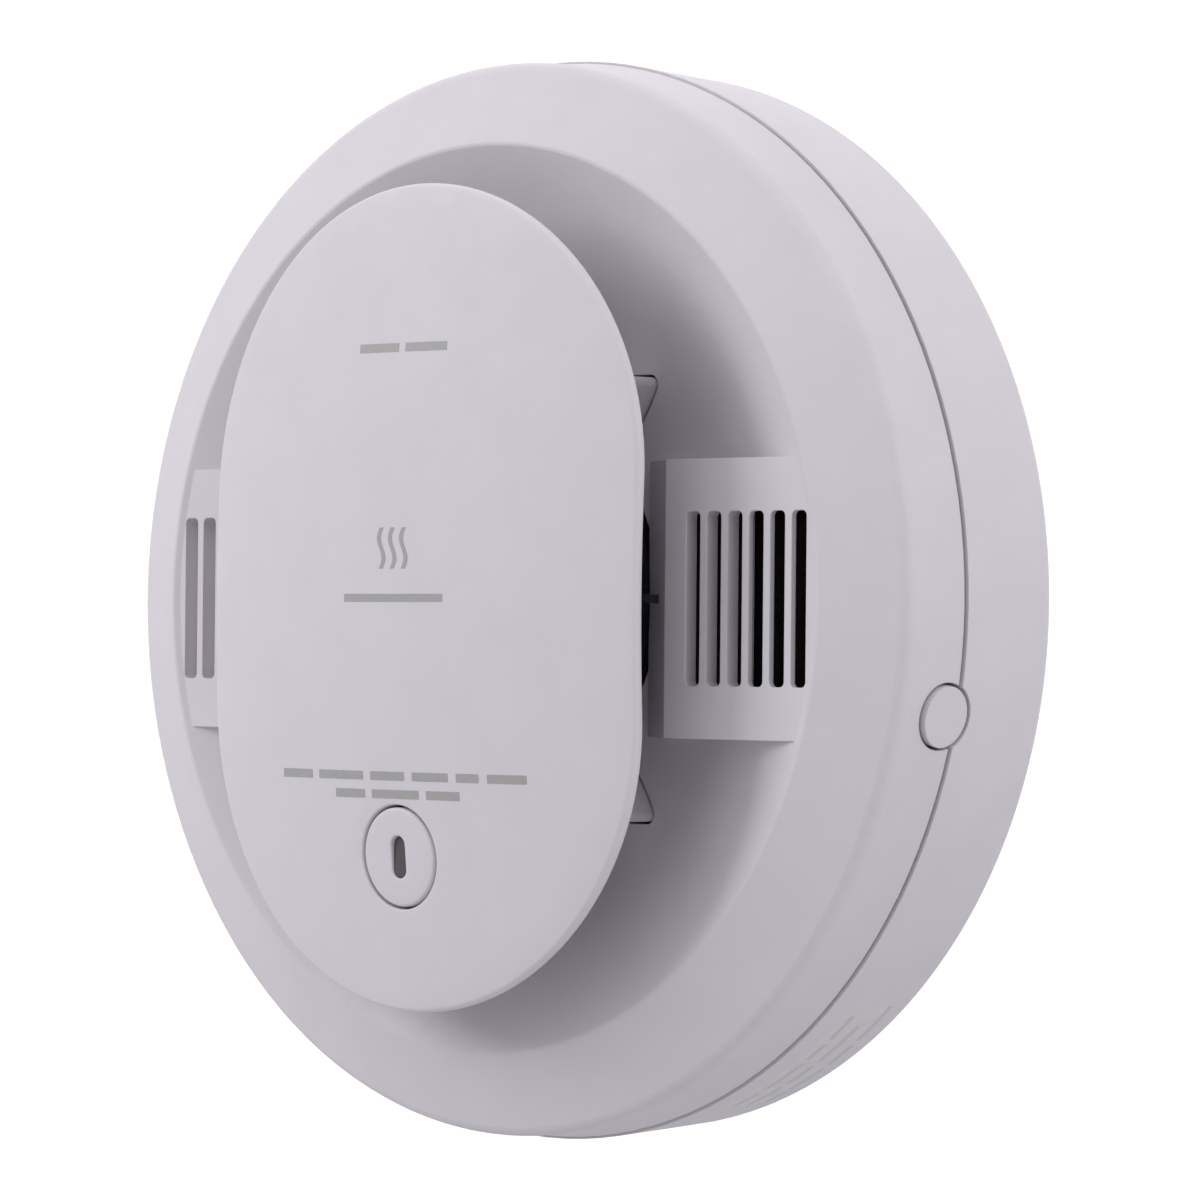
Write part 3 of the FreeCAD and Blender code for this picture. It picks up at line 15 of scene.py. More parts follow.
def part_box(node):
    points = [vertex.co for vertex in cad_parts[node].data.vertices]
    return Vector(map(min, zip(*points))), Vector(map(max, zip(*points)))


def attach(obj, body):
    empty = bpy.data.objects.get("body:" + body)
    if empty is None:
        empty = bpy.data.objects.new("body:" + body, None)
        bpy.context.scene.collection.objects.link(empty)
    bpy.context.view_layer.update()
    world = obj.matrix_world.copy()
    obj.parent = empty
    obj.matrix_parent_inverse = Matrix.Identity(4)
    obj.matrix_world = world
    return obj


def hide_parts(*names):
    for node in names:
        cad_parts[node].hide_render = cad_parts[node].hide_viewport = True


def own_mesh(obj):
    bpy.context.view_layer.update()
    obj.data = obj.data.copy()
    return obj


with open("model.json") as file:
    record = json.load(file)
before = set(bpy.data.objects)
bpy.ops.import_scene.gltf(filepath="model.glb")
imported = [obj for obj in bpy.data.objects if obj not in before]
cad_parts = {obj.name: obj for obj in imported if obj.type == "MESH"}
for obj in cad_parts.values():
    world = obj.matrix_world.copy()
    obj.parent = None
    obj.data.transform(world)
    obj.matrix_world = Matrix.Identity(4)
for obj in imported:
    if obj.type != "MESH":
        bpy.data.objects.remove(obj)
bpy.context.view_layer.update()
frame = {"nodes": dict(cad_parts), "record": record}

MM = 0.001
RECORD = frame["record"]
NODES = frame["nodes"]

# The cover's crowned face is part of a large torus about X.
CROWN_RING = 170 * MM
CROWN_TUBE = 160 * MM
COVER_LOW, COVER_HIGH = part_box("front_cover")
COVER_APEX = -COVER_LOW.y
COVER_FOOT = -COVER_HIGH.y
COVER_HALF_WIDTH = COVER_HIGH.x
COVER_HALF_HEIGHT = COVER_HIGH.z
COVER_SKIN = 1.5 * MM
FACE_INSET = 0.05 * MM

BUTTON_LOW, BUTTON_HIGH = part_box("test_button")
BUTTON_Z = (BUTTON_LOW.z + BUTTON_HIGH.z) / 2
BUTTON_RADIUS = BUTTON_HIGH.x
BUTTON_GAP = 0.35 * MM

ARC_STEPS = 64
STRAIGHT_STEPS = 14
ROUND_STEPS = 5


# ---------------------------------------------------------------- mesh helpers

class Capsule:
    """An upright outline with round ends, or a circle where its straight part is zero."""

    def __init__(self, centre_z, radius, straight=0.0):
        self.centre_z = centre_z
        self.radius = radius
        self.straight = straight

    def distance(self, x, z):
        """How far a point lies outside the outline; negative inside it."""
        return math.hypot(x, max(abs(z - self.centre_z) - self.straight, 0.0)) - self.radius

    def outline(self, inset, arc_steps, straight_steps=0):
        """Points (x, z) round the outline, drawn in by an inset, counter-clockwise from the right."""
        radius = self.radius - inset
        points = []
        for end in (1, -1):
            start = 0.0 if end > 0 else math.pi
            for step in range(arc_steps):
                angle = start + math.pi * (step + 0.5) / arc_steps
                centre = self.centre_z + end * self.straight
                points.append((radius * math.cos(angle), centre + radius * math.sin(angle)))
            for step in range(straight_steps):
                along = 1 - 2 * (step + 0.5) / straight_steps
                points.append((-end * radius, self.centre_z + end * along * self.straight))
        return points


class Shell:
    """Collects rings of points and the faces between them."""

    def __init__(self):
        self.points = []
        self.faces = []

    def ring(self, points):
        first = len(self.points)
        self.points.extend(points)
        return list(range(first, len(self.points)))

    def loft(self, first, second, closed=True):
        """Quads between two rings of the same length."""
        count = len(first)
        for place in range(count if closed else count - 1):
            after = (place + 1) % count
            self.faces.append((first[place], first[after], second[after], second[place]))

    def skin(self, rings, closed=True):
        for first, second in zip(rings, rings[1:]):
            self.loft(first, second, closed)

    def cap(self, ring):
        self.faces.append(tuple(ring))

    def fill(self, outer, holes, shapes, spacing, lift):
        """A fine triangle net between rings. shapes are the outlines that the net keeps clear of."""
        edge = list(outer) + [index for hole in holes for index in hole]
        flat = [Vector((self.points[index].x, self.points[index].z)) for index in edge]
        links = []
        start = 0
        for ring in [outer, *holes]:
            count = len(ring)
            links += [(start + place, start + (place + 1) % count) for place in range(count)]
            start += count
        inner = net_points(shapes[0], shapes[1:], spacing)
        extra = self.ring([Vector((x, lift(x, z), z)) for x, z in inner])
        flat += [Vector(point) for point in inner]
        number = edge + extra
        corners, _, triangles, originals, _, _ = delaunay_2d_cdt(flat, links, [], 0, 1e-9)
        place = [number[source[0]] for source in originals]
        for triangle in triangles:
            middle = sum((corners[index] for index in triangle), Vector((0, 0))) / 3
            if all(shape.distance(middle.x, middle.y) > 0 for shape in shapes[1:]):
                self.faces.append(tuple(place[index] for index in triangle))

    def build(self, name, sharp_angle=32):
        """The finished object, welded, with outward normals and smooth shading."""
        mesh = bpy.data.meshes.new(name)
        mesh.from_pydata([tuple(point) for point in self.points], [], self.faces)
        work = bmesh.new()
        work.from_mesh(mesh)
        bmesh.ops.remove_doubles(work, verts=work.verts, dist=0.0001 * MM)
        bmesh.ops.recalc_face_normals(work, faces=work.faces)
        work.to_mesh(mesh)
        work.free()
        mesh.shade_smooth()
        mesh.set_sharp_from_angle(angle=math.radians(sharp_angle))
        piece = bpy.data.objects.new(name, mesh)
        bpy.context.scene.collection.objects.link(piece)
        return piece


def net_points(outside, holes, spacing):
    """Staggered points inside one outline and clear of the others."""
    points = []
    reach = outside.radius + outside.straight
    rows = int(2 * reach / (spacing * 0.866)) + 1
    for row in range(rows):
        z = outside.centre_z - reach + row * spacing * 0.866
        for column in range(int(2 * outside.radius / spacing) + 1):
            x = -outside.radius + (column + 0.5 * (row % 2)) * spacing
            clear = outside.distance(x, z) < -0.6 * spacing
            if clear and all(hole.distance(x, z) > 0.6 * spacing for hole in holes):
                points.append((x, z))
    return points


def crown_y(x, z, sunk=0.0):
    """Where the cover's crowned face lies at x, z, or a face sunk towards the wall."""
    across = math.sqrt(CROWN_TUBE ** 2 - x * x) + CROWN_RING
    depth = COVER_APEX - CROWN_RING - CROWN_TUBE + math.sqrt(across * across - z * z)
    return FACE_INSET + sunk - depth


def crown_ring(shell, shape, inset, sunk, arc_steps, straight_steps=0):
    points = shape.outline(inset, arc_steps, straight_steps)
    return shell.ring([Vector((x, crown_y(x, z, sunk), z)) for x, z in points])


def level_ring(shell, shape, inset, depth, arc_steps):
    points = shape.outline(inset, arc_steps)
    return shell.ring([Vector((x, -depth, z)) for x, z in points])


def rounding(radius):
    """Steps (inset, sunk) of a rounded edge, from the face to the side."""
    steps = []
    for step in range(ROUND_STEPS + 1):
        angle = math.pi / 2 * step / ROUND_STEPS
        steps.append((radius * (1 - math.sin(angle)), radius * (1 - math.cos(angle))))
    return steps


def rounded_corners(corners, radius, steps=6):
    """A convex outline of (x, z) corners with each corner rounded."""
    points = []
    count = len(corners)
    for place, corner in enumerate(corners):
        corner = Vector(corner)
        before = (Vector(corners[place - 1]) - corner).normalized()
        after = (Vector(corners[(place + 1) % count]) - corner).normalized()
        half = math.acos(before.dot(after)) / 2
        centre = corner + (before + after).normalized() * (radius / math.sin(half))
        start = corner + before * (radius / math.tan(half)) - centre
        end = corner + after * (radius / math.tan(half)) - centre
        for step in range(steps + 1):
            blend = start.slerp(end, step / steps, start)
            points.append(centre + blend.normalized() * radius)
    return points


def finish_piece(piece, body, slot, *nodes):
    """Rides a piece on a body, paints it with its slot's material, and hides the nodes it stands for."""
    piece.data.materials.append(MATERIALS[slot])
    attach(piece, body)
    if nodes:
        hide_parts(*nodes)
    return piece


# ---------------------------------------------------------------- materials

def new_material(name, colour, roughness, **sockets):
    """A Principled material. Constant values sit on the shader's own sockets."""
    material = bpy.data.materials.new(name)
    material.use_nodes = True
    shader = material.node_tree.nodes["Principled BSDF"]
    shader.inputs["Base Color"].default_value = (*colour, 1)
    shader.inputs["Roughness"].default_value = roughness
    for socket, value in sockets.items():
        shader.inputs[socket.replace("_", " ")].default_value = value
    return material


def shader_of(material):
    return material.node_tree.nodes["Principled BSDF"]


def add_node(material, kind, **values):
    """A node whose inputs or properties take the given values."""
    node = material.node_tree.nodes.new(kind)
    for name, value in values.items():
        label = name.replace("_", " ")
        if label in node.inputs:
            node.inputs[label].default_value = value
        else:
            setattr(node, name, value)
    return node


def noise(material, grain_size, detail=2.0):
    """Noise whose lumps have about the given size in metres."""
    place = add_node(material, "ShaderNodeTexCoord")
    texture = add_node(material, "ShaderNodeTexNoise", Scale=1 / grain_size, Detail=detail)
    material.node_tree.links.new(place.outputs["Object"], texture.inputs["Vector"])
    return texture.outputs["Fac"]


def spread(material, source, low, high):
    """Stretches a noise value to a range."""
    node = add_node(material, "ShaderNodeMapRange")
    for socket, value in (("From Min", 0.3), ("From Max", 0.7), ("To Min", low), ("To Max", high)):
        node.inputs[socket].default_value = value
    material.node_tree.links.new(source, node.inputs["Value"])
    return node.outputs["Result"]


def mottle(material, first, second, grain_size, detail=3.0):
    """Lets the colour drift between two colours."""
    ramp = add_node(material, "ShaderNodeValToRGB")
    ramp.color_ramp.elements[0].color = (*first, 1)
    ramp.color_ramp.elements[1].color = (*second, 1)
    ramp.color_ramp.elements[0].position = 0.35
    ramp.color_ramp.elements[1].position = 0.65
    material.node_tree.links.new(noise(material, grain_size, detail), ramp.inputs["Fac"])
    material.node_tree.links.new(ramp.outputs["Color"], shader_of(material).inputs["Base Color"])


def vary_roughness(material, low, high, grain_size):
    value = spread(material, noise(material, grain_size), low, high)
    material.node_tree.links.new(value, shader_of(material).inputs["Roughness"])


def grain(material, grain_size, height, edge_radius=0.0, detail=2.0):
    """Fine surface relief, over softened edges where a radius is given."""
    bump = add_node(material, "ShaderNodeBump", Strength=1.0, Distance=height)
    material.node_tree.links.new(noise(material, grain_size, detail), bump.inputs["Height"])
    if edge_radius:
        soft = add_node(material, "ShaderNodeBevel", samples=6, Radius=edge_radius)
        material.node_tree.links.new(soft.outputs["Normal"], bump.inputs["Normal"])
    material.node_tree.links.new(bump.outputs["Normal"], shader_of(material).inputs["Normal"])


def white_plastic():
    """Matte moulded plastic with a spark-eroded grain, off-white with a breath of lilac."""
    material = new_material("white_plastic", (0.66, 0.625, 0.68), 0.55, Specular_IOR_Level=0.35)
    mottle(material, (0.652, 0.617, 0.672), (0.668, 0.633, 0.688), 9 * MM)
    vary_roughness(material, 0.5, 0.6, 2.5 * MM)
    grain(material, 0.28 * MM, 0.006 * MM, edge_radius=0.22 * MM)
    return material


def smoked_lens():
    material = new_material("smoked_lens", (0.07, 0.064, 0.07), 0.2, Coat_Weight=0.4)
    mottle(material, (0.062, 0.057, 0.062), (0.078, 0.071, 0.078), 1.2 * MM)
    grain(material, 0.6 * MM, 0.002 * MM)
    return material


def metal(name, colour, roughness, streak):
    material = new_material(name, colour, roughness, Metallic=1.0)
    dark = tuple(0.82 * part for part in colour)
    mottle(material, dark, colour, streak)
    vary_roughness(material, roughness * 0.75, roughness * 1.3, streak / 2)
    grain(material, streak / 4, 0.003 * MM)
    return material


def cell_jacket():
    """Printed shrink sleeve of a battery: a dark body with one coloured band, and no lettering."""
    dark, amber = (0.03, 0.035, 0.045), (0.42, 0.27, 0.05)
    material = new_material("cell_jacket", dark, 0.3, Coat_Weight=0.5, Coat_Roughness=0.15)
    place = add_node(material, "ShaderNodeTexCoord")
    axes = add_node(material, "ShaderNodeSeparateXYZ")
    ramp = add_node(material, "ShaderNodeValToRGB")
    ramp.color_ramp.interpolation = "CONSTANT"
    ramp.color_ramp.elements[0].color = (*dark, 1)
    band = ramp.color_ramp.elements[1]
    band.color = (*amber, 1)
    band.position = 0.62
    stretch = add_node(material, "ShaderNodeMapRange")
    stretch.inputs["From Min"].default_value = -28 * MM
    stretch.inputs["From Max"].default_value = 28 * MM
    links = material.node_tree.links
    links.new(place.outputs["Object"], axes.inputs["Vector"])
    links.new(axes.outputs["X"], stretch.inputs["Value"])
    links.new(stretch.outputs["Result"], ramp.inputs["Fac"])
    links.new(ramp.outputs["Color"], shader_of(material).inputs["Base Color"])
    grain(material, 2 * MM, 0.01 * MM)
    return material


def green_board():
    """Solder mask over faint copper tracks, with a woven glass base showing through."""
    material = new_material("green_board", (0.02, 0.13, 0.06), 0.35, Coat_Weight=0.3)
    tracks = add_node(material, "ShaderNodeTexBrick", Scale=1 / (9 * MM), Mortar_Size=0.06)
    tracks.inputs["Color1"].default_value = (0.015, 0.11, 0.05, 1)
    tracks.inputs["Color2"].default_value = (0.02, 0.13, 0.06, 1)
    tracks.inputs["Mortar"].default_value = (0.05, 0.24, 0.09, 1)
    place = add_node(material, "ShaderNodeTexCoord")
    turn = add_node(material, "ShaderNodeMapping")
    turn.inputs["Rotation"].default_value = (math.pi / 2, 0, 0)
    links = material.node_tree.links
    links.new(place.outputs["Object"], turn.inputs["Vector"])
    links.new(turn.outputs["Vector"], tracks.inputs["Vector"])
    links.new(tracks.outputs["Color"], shader_of(material).inputs["Base Color"])
    grain(material, 0.5 * MM, 0.01 * MM)
    return material


def dull(name, first, second, roughness, grain_size, height):
    """A plain moulded or foamed material whose colour and relief both vary."""
    material = new_material(name, first, roughness, Specular_IOR_Level=0.35)
    mottle(material, first, second, grain_size * 8)
    vary_roughness(material, roughness * 0.9, min(roughness * 1.1, 1.0), grain_size * 4)
    grain(material, grain_size, height, edge_radius=0.12 * MM)
    return material


def grey_dull(name, low, high, roughness, grain_size, height):
    """A neutral dull material between two grey levels."""
    return dull(name, (low, low, low), (high, high, high), roughness, grain_size, height)


def make_materials():
    """One material for each of the record's slots."""
    return {
        "white_plastic": white_plastic(),
        "smoked_lens": smoked_lens(),
        "spring_steel": metal("spring_steel", (0.55, 0.55, 0.56), 0.28, 1.5 * MM),
        "nickel_plate": metal("nickel_plate", (0.62, 0.59, 0.54), 0.22, 2.5 * MM),
        "cell_jacket": cell_jacket(),
        "green_board": green_board(),
        "black_plastic": dull(
            "black_plastic", (0.012, 0.012, 0.013), (0.02, 0.02, 0.022), 0.5, 0.4 * MM, 0.01 * MM),
        "capacitor_can": metal("capacitor_can", (0.16, 0.2, 0.32), 0.3, 3 * MM),
        "clear_lamp": dull(
            "clear_lamp", (0.62, 0.66, 0.68), (0.7, 0.74, 0.76), 0.15, 1 * MM, 0.002 * MM),
        "label_film": dull(
            "label_film", (0.65, 0.625, 0.665), (0.67, 0.645, 0.685), 0.4, 0.5 * MM, 0.003 * MM),
        "dark_screen": dull(
            "dark_screen", (0.03, 0.033, 0.03), (0.045, 0.05, 0.045), 0.6, 0.3 * MM, 0.01 * MM),
        "brass_disc": metal("brass_disc", (0.6, 0.42, 0.14), 0.25, 2 * MM),
        "foam_ring": grey_dull("foam_ring", 0.03, 0.05, 0.95, 0.25 * MM, 0.08 * MM),
    }


def slot_shade_black():
    """Lightless black cloth: painted shade that stands in for the dark inside the slots."""
    # Near-black colour: painted shade for the inside of the right panel's slots.
    material = new_material("slot_shade_black", (0.004, 0.004, 0.004), 0.95, Specular_IOR_Level=0.05)
    mottle(material, (0.003, 0.003, 0.003), (0.005, 0.005, 0.005), 0.6 * MM)
    grain(material, 0.3 * MM, 0.01 * MM)
    return material


def grey_ink(name, level):
    """Matte grey print."""
    material = new_material(name, (level, level, level * 1.03), 0.5)
    light = level * 1.05
    mottle(material, (level, level * 0.98, level * 1.02), (light, light * 0.98, light * 1.02), 0.8 * MM)
    grain(material, 0.3 * MM, 0.004 * MM)
    return material


# ---------------------------------------------------------------- cover and button

def cover_plate(shell):
    """The crowned plate with rounded edges, and the skirt round the button's hole."""
    plate = Capsule(0, COVER_HALF_WIDTH, COVER_HALF_HEIGHT - COVER_HALF_WIDTH)
    hole = Capsule(BUTTON_Z, BUTTON_RADIUS + BUTTON_GAP)
    skirt = Capsule(BUTTON_Z, hole.radius + 1.25 * MM)
    front_round, back_round, hole_round = 0.6 * MM, 0.6 * MM, 0.22 * MM
    steps = (ARC_STEPS, STRAIGHT_STEPS)
    rim = [crown_ring(shell, plate, inset, sunk, *steps) for inset, sunk in rounding(front_round)]
    back = [(inset, COVER_SKIN - sunk) for inset, sunk in reversed(rounding(back_round))]
    rim += [crown_ring(shell, plate, inset, sunk, *steps) for inset, sunk in back]
    shell.skin(rim)
    well = [crown_ring(shell, hole, -inset, sunk, ARC_STEPS) for inset, sunk in rounding(hole_round)]
    skirt_depth = 40 * MM
    well.append(level_ring(shell, hole, 0, skirt_depth, ARC_STEPS))
    well.append(level_ring(shell, skirt, 0, skirt_depth, ARC_STEPS))
    well.append(crown_ring(shell, skirt, 0, COVER_SKIN, ARC_STEPS))
    shell.skin(well)
    rounded_plate = Capsule(0, plate.radius - front_round, plate.straight)
    rounded_hole = Capsule(BUTTON_Z, hole.radius + hole_round)
    spacing = 2.6 * MM
    shell.fill(rim[0], [well[0]], [rounded_plate, rounded_hole], spacing, crown_y)
    shell.fill(rim[-1], [well[-1]], [plate, skirt], spacing, lambda x, z: crown_y(x, z, COVER_SKIN))


def cover_post(shell, side, rise):
    """One triangular post with rounded corners, from its foot up into the plate."""
    outer_x, inner_x, point_x = 24.6 * MM, 15.6 * MM, 19.2 * MM
    corner_z, point_z = 28.1 * MM, 20.6 * MM
    corners = [(outer_x, corner_z), (inner_x, corner_z), (point_x, point_z)]
    outline = rounded_corners([(x * side, z * rise) for x, z in corners], 0.8 * MM)
    foot = shell.ring([Vector((point.x, -COVER_FOOT, point.y)) for point in outline])
    sunk = COVER_SKIN / 2
    top = shell.ring([Vector((point.x, crown_y(point.x, point.y, sunk), point.y)) for point in outline])
    shell.loft(foot, top)
    shell.cap(foot)
    shell.cap(top)


def make_cover():
    shell = Shell()
    cover_plate(shell)
    for side in (-1, 1):
        for rise in (-1, 1):
            cover_post(shell, side, rise)
    return finish_piece(shell.build("cover_shell"), "alarm", "white_plastic", "front_cover")


def make_test_button():
    """Round cap that follows the crown, with a lamp window, a hollow stem and a foot."""
    shell = Shell()
    cap = Capsule(BUTTON_Z, BUTTON_RADIUS)
    window = Capsule(BUTTON_Z, 1.2 * MM, 1.5 * MM)
    cap_round, window_round = 0.4 * MM, 0.2 * MM
    steps = 40
    outer = [crown_ring(shell, cap, inset, sunk, steps) for inset, sunk in rounding(cap_round)]
    stem, foot, bore = 3.2 * MM, 5.8 * MM, 1.6 * MM
    foot_depth = -BUTTON_HIGH.y
    foot_top = foot_depth + 1.2 * MM
    cap_depth, bore_depth, window_depth = 43.2 * MM, 43.9 * MM, 44.6 * MM
    sides = [(cap.radius, cap_depth), (stem, cap_depth), (stem, foot_top), (foot, foot_top)]
    sides += [(foot, foot_depth), (bore, foot_depth), (bore, bore_depth)]
    outer += [level_ring(shell, Capsule(BUTTON_Z, radius), 0, depth, steps) for radius, depth in sides]
    outer.append(level_ring(shell, window, 0, window_depth, steps))
    lip = [(-inset, sunk) for inset, sunk in reversed(rounding(window_round))]
    outer += [crown_ring(shell, window, inset, sunk, steps) for inset, sunk in lip]
    shell.skin(outer)
    rounded_cap = Capsule(BUTTON_Z, cap.radius - cap_round)
    rounded_window = Capsule(BUTTON_Z, window.radius + window_round, window.straight)
    shell.fill(outer[0], [outer[-1]], [rounded_cap, rounded_window], 0.9 * MM, crown_y)
    return finish_piece(shell.build("test_button_cap"), "test_button", "white_plastic", "test_button")


# ---------------------------------------------------------------- print on the cover

PRINT_TOP = -0.03 * MM
PRINT_BOTTOM = 0.02 * MM


def print_strip(shell, left, right):
    """A thin slab of ink between two lines of (x, z) points of the same length."""
    rows = []
    corners = [(left, PRINT_BOTTOM), (left, PRINT_TOP), (right, PRINT_TOP), (right, PRINT_BOTTOM)]
    for line, height in corners:
        rows.append(shell.ring([Vector((x, crown_y(x, z, height), z)) for x, z in line]))
    shell.skin(rows + rows[:1], closed=False)
    shell.cap([row[0] for row in rows])
    shell.cap([row[-1] for row in rows])


def print_dash(shell, start, end, low, high, steps=8):
    """A level dash of ink between two x values and two heights."""
    places = [start + (end - start) * step / steps for step in range(steps + 1)]
    print_strip(shell, [(x, low) for x in places], [(x, high) for x in places])


def print_row(shell, low, high, width, shares, gap):
    """A centred row of dashes that share a width, in place of a line of print."""
    room = width - gap * (len(shares) - 1)
    x = -width / 2
    for share in shares:
        length = room * share / sum(shares)
        print_dash(shell, x, x + length, low, high)
        x += length + gap


def print_wave(shell, centre, low, high, sway, width, steps=24):
    """One rising wave of a plain smoke sign."""
    left, right = [], []
    for step in range(steps + 1):
        z = low + (high - low) * step / steps
        x = centre + sway * math.sin(2 * math.pi * step / steps)
        left.append((x - width / 2, z))
        right.append((x + width / 2, z))
    print_strip(shell, left, right)


def make_print():
    """Generic marks: rows of dashes where such alarms carry small print, and a plain smoke sign."""
    shell = Shell()
    print_row(shell, 31.1 * MM, 32.2 * MM, 15.7 * MM, (5, 5), 1.2 * MM)
    for place in (-1, 0, 1):
        print_wave(shell, place * 2 * MM, 3.6 * MM, 8.8 * MM, 0.45 * MM, 0.7 * MM)
    print_row(shell, -0.6 * MM, 0.4 * MM, 17.8 * MM, (1,), 0)
    print_row(shell, -23.2 * MM, -22.1 * MM, 44 * MM, (5, 7, 5, 5, 3, 5), 1.4 * MM)
    print_row(shell, -25.5 * MM, -24.4 * MM, 22.4 * MM, (4, 6, 4), 1.3 * MM)
    piece = shell.build("cover_print")
    piece.data.materials.append(grey_ink("grey_ink", 0.355))
    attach(piece, "alarm")


# ---------------------------------------------------------------- springs and screen

def coil_rings(shell, start, axis, radii, wire, length, turns, steps=28, sides=8):
    """A helical wire along an axis, closed at both ends, whose radius runs between two values."""
    axis = Vector(axis).normalized()
    first = axis.orthogonal().normalized()
    second = axis.cross(first)
    count = int(turns * steps)
    rings = []
    for step in range(count + 1):
        share = step / count
        angle = 2 * math.pi * turns * share
        radius = radii[0] + (radii[1] - radii[0]) * share
        outward = first * math.cos(angle) + second * math.sin(angle)
        eased = share - 0.45 / turns * math.sin(2 * math.pi * share) / math.pi
        centre = Vector(start) + outward * radius + axis * (wire + (length - 2 * wire) * eased)
        ring = []
        for side in range(sides):
            lean = 2 * math.pi * side / sides
            ring.append(centre + outward * (wire * math.cos(lean)) + axis * (wire * math.sin(lean)))
        rings.append(shell.ring(ring))
    shell.skin(rings)
    shell.cap(rings[0])
    shell.cap(rings[-1])


def make_springs():
    """Smooth coils in the places of the faceted ones."""
    low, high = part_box("button_spring")
    shell = Shell()
    length, radius, wire, travel = high.y - low.y, 4.4 * MM, 0.3 * MM, 0.6 * MM
    start = (0, high.y, BUTTON_Z)
    coil_rings(shell, start, (0, -1, 0), (radius, radius), wire, length, 6)
    spring = finish_piece(shell.build("button_coil"), "alarm", "spring_steel", "button_spring")
    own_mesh(spring)
    make_release_spring()
    make_battery_springs()


def make_release_spring():
    """A coil on the release button's stem, which points out and slightly down."""
    lean = math.radians(11.8)
    outward = Vector((math.cos(lean), 0, -math.sin(lean)))
    depth, distance = 20.2 * MM, 60.2 * MM
    start = outward * distance + Vector((0, -depth, 0))
    shell = Shell()
    length, radius, wire, travel = 5.4 * MM, 2.5 * MM, 0.25 * MM, 1.5 * MM
    coil_rings(shell, start, outward, (radius, radius), wire, length, 4)
    spring = finish_piece(shell.build("release_coil"), "alarm", "spring_steel", "release_spring")
    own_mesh(spring)


def make_battery_springs():
    """Two cone-shaped contact springs."""
    low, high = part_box("battery_springs")
    shell = Shell()
    y = (low.y + high.y) / 2
    cell_z, wire, length, radii = 8 * MM, 0.33 * MM, 5.35 * MM, (3.2 * MM, 2.2 * MM)
    for rise in (1, -1):
        start = (low.x if rise > 0 else high.x, y, rise * cell_z)
        coil_rings(shell, start, (rise, 0, 0), radii, wire, length, 4)
    finish_piece(shell.build("contact_coils"), "alarm", "spring_steel", "battery_springs")


def make_insect_mesh():
    """Fine wire net inside the screen's windows."""
    low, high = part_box("insect_screen")
    margin, pitch, wire = 0.3 * MM, 0.95 * MM, 0.16 * MM
    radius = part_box("chamber_cap")[1].x - 0.25 * MM
    columns = int(2 * math.pi * radius / pitch)
    start, end = -high.y + margin, -low.y - margin
    rows = int((end - start) / pitch)
    turn = [2 * math.pi * column / columns for column in range(columns)]
    shell = Shell()
    rings = []
    for row in range(rows + 1):
        y = -start - (end - start) * row / rows
        rings.append(shell.ring([Vector((radius * math.cos(a), y, radius * math.sin(a))) for a in turn]))
    shell.skin(rings)
    net = shell.build("insect_net")
    wires = net.modifiers.new("wires", "WIREFRAME")
    wires.thickness = wire
    wires.use_even_offset = False
    finish_piece(net, "alarm", "dark_screen")


def make_slot_shade_sheet():
    """A black sheet behind the right panel's slots, over the horn: painted shade that keeps the slots
    dark.
    """
    shell = Shell()
    depth, thickness = 30.3 * MM, 0.12 * MM
    low, high, half_height = 36 * MM, 56.2 * MM, 12.5 * MM
    corners = [(low, -half_height), (high, -half_height), (high, half_height), (low, half_height)]
    back = shell.ring([Vector((x, -depth, z)) for x, z in corners])
    front = shell.ring([Vector((x, -depth - thickness, z)) for x, z in corners])
    shell.loft(back, front)
    shell.cap(back)
    shell.cap(front)
    # This sheet is painted shade: its black stands for the shade inside the slots.
    piece = shell.build("slot_shade_sheet")
    piece.data.materials.append(slot_shade_black())
    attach(piece, "alarm")


def wall_radius(depth):
    """The rear housing's outer wall, which widens from its back edge to the seam."""
    back_radius, back_depth, seam_radius, seam_depth = 69.2 * MM, 0.6 * MM, 70 * MM, 18.2 * MM
    return back_radius + (seam_radius - back_radius) * (depth - back_depth) / (seam_depth - back_depth)


def side_patch(shell, start, end, low, high, inner, outer, steps):
    """A thin slab on the round side wall between two angles in degrees and two depths."""
    rows = []
    for depth, sunk in ((low, inner), (low, outer), (high, outer), (high, inner)):
        points = []
        for step in range(steps + 1):
            angle = math.radians(start + (end - start) * step / steps)
            radius = wall_radius(depth) + sunk
            points.append(Vector((radius * math.cos(angle), -depth, radius * math.sin(angle))))
        rows.append(shell.ring(points))
    shell.skin(rows + rows[:1], closed=False)
    shell.cap([row[0] for row in rows])
    shell.cap([row[-1] for row in rows])


def make_side_label():
    """A plain film label on the side wall, low on the right, with rows of generic dashes."""
    film, ink = Shell(), Shell()
    side_patch(film, -70, -47, 3.4 * MM, 14.6 * MM, -0.2 * MM, -0.02 * MM, 32)
    first_low, row_pitch, row_height = 4.9 * MM, 3.2 * MM, 0.9 * MM
    margin_angle, gap_angle = -68.0, 0.9
    for row, shares in enumerate(((3, 5, 4, 6), (5, 4, 7), (4, 6, 3, 4))):
        low = first_low + row * row_pitch
        angle = margin_angle
        for share in shares:
            side_patch(ink, angle, angle + share, low, low + row_height, -0.03 * MM, 0.0, 6)
            angle += share + gap_angle
    finish_piece(film.build("side_label"), "alarm", "label_film")
    piece = ink.build("side_label_print")
    piece.data.materials.append(grey_ink("faint_ink", 0.54))
    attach(piece, "alarm")


# ---------------------------------------------------------------- light, floor and camera

CAMERA_PLACE = Vector((506.0, -537.2, -5.8)) * MM
CAMERA_AZIMUTH = math.radians(43.822)
CAMERA_ELEVATION = math.radians(-0.461)
CAMERA_ROLL = math.radians(0.521)


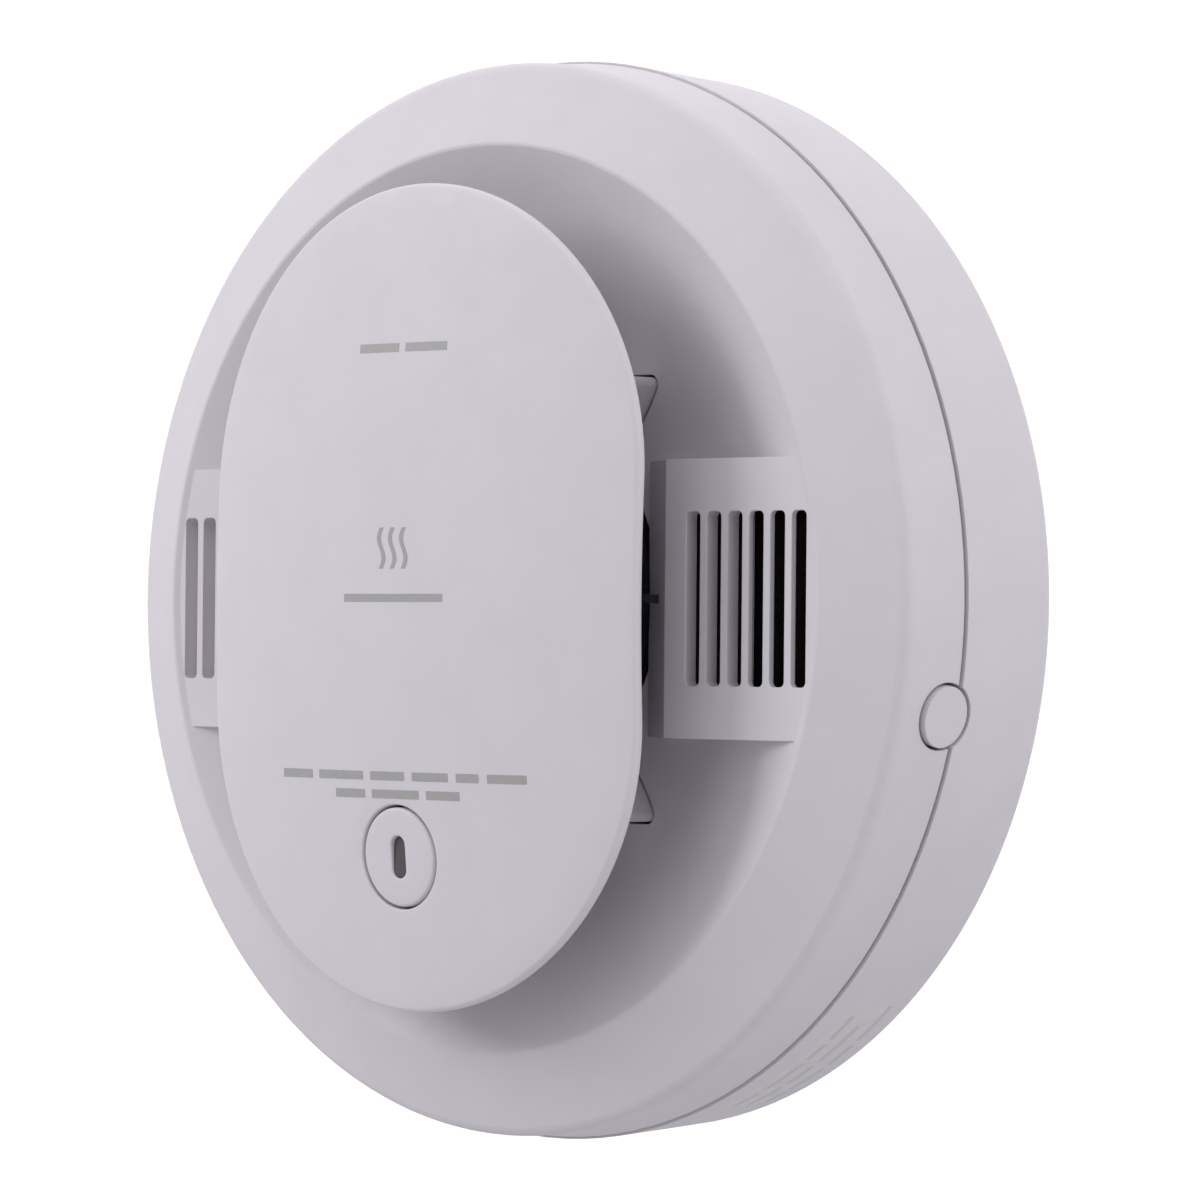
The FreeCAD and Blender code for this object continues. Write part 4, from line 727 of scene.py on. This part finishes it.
def make_camera():
    """A long lens that looks at the alarm from its front right, level with its middle."""
    azimuth, elevation, roll = CAMERA_AZIMUTH, CAMERA_ELEVATION, CAMERA_ROLL
    flat = math.cos(elevation)
    back = Vector((math.sin(azimuth) * flat, -math.cos(azimuth) * flat, math.sin(elevation)))
    right = Vector((math.cos(azimuth), math.sin(azimuth), 0))
    up = back.cross(right)
    turned_right = right * math.cos(roll) + up * math.sin(roll)
    turned_up = up * math.cos(roll) - right * math.sin(roll)
    camera = bpy.data.objects.new("camera", bpy.data.cameras.new("camera"))
    camera.data.sensor_width = 36
    camera.data.lens = 167.0
    turn = Matrix((turned_right, turned_up, back)).transposed().to_4x4()
    camera.matrix_world = Matrix.Translation(CAMERA_PLACE) @ turn
    bpy.context.scene.collection.objects.link(camera)
    bpy.context.scene.camera = camera


def soft_light(name, place, size, power, aim=(0, 0, 0)):
    """A large square softbox that faces a point."""
    light = bpy.data.lights.new(name, "AREA")
    light.size = size
    light.energy = power
    lamp = bpy.data.objects.new(name, light)
    turn = (Vector(aim) - Vector(place)).to_track_quat("-Z", "Y")
    lamp.matrix_world = Matrix.Translation(place) @ turn.to_matrix().to_4x4()
    bpy.context.scene.collection.objects.link(lamp)


WORLD_FRONT = 0.52
WORLD_BACK = 1.1
WORLD_ABOVE = 0.5


def studio_world():
    """A pale surround: brightest on the far side of the alarm, softer in front, brighter above."""
    world = bpy.data.worlds.new("studio")
    world.use_nodes = True
    bpy.context.scene.world = world
    tree = world.node_tree
    place = tree.nodes.new("ShaderNodeTexCoord")
    facing = tree.nodes.new("ShaderNodeVectorMath")
    facing.operation = "DOT_PRODUCT"
    facing.inputs[1].default_value = (-0.69, 0.72, 0)
    level = tree.nodes.new("ShaderNodeMapRange")
    level.inputs["From Min"].default_value = 0.2
    level.inputs["From Max"].default_value = 0.85
    level.inputs["To Min"].default_value = WORLD_FRONT
    level.inputs["To Max"].default_value = WORLD_BACK
    axes = tree.nodes.new("ShaderNodeSeparateXYZ")
    above = tree.nodes.new("ShaderNodeMapRange")
    above.inputs["From Min"].default_value = 0.15
    above.inputs["To Max"].default_value = WORLD_ABOVE
    total = tree.nodes.new("ShaderNodeMath")
    total.operation = "ADD"
    tree.nodes["Background"].inputs["Color"].default_value = (1, 1, 1, 1)
    tree.links.new(place.outputs["Generated"], facing.inputs[0])
    tree.links.new(facing.outputs["Value"], level.inputs["Value"])
    tree.links.new(place.outputs["Generated"], axes.inputs["Vector"])
    tree.links.new(axes.outputs["Z"], above.inputs["Value"])
    tree.links.new(level.outputs["Result"], total.inputs[0])
    tree.links.new(above.outputs["Result"], total.inputs[1])
    tree.links.new(total.outputs["Value"], tree.nodes["Background"].inputs["Strength"])


def make_floor():
    """A wide pale floor well below the alarm, which hangs as on its wall."""
    shell = Shell()
    radius, drop, corners = 5.0, -1.2, 96
    turn = [2 * math.pi * step / corners for step in range(corners)]
    shell.cap(shell.ring([Vector((radius * math.cos(a), radius * math.sin(a), drop)) for a in turn]))
    floor = shell.build("floor")
    material = new_material("pale_floor", (0.5, 0.5, 0.51), 0.8)
    mottle(material, (0.49, 0.49, 0.5), (0.51, 0.51, 0.52), 0.4)
    floor.data.materials.append(material)


def make_studio():
    make_floor()
    studio_world()
    soft_light("key", (-2.0, -2.1, 1.4), 1.5, 40)
    soft_light("side", (2.2, 0.3, 0.8), 1.4, 15)
    view = bpy.context.scene.view_settings
    view.view_transform = "Standard"


# ---------------------------------------------------------------- scene

MATERIALS = make_materials()


def paint_nodes():
    """Gives each CAD node the procedural material of its slot."""
    for part in RECORD["subparts"]:
        node = NODES[part["node"]]
        node.data.materials.clear()
        node.data.materials.append(MATERIALS[part["material_slot"]])


paint_nodes()
make_camera()
make_cover()
make_test_button()
make_print()
make_springs()
make_insect_mesh()
make_slot_shade_sheet()
make_side_label()
make_studio()
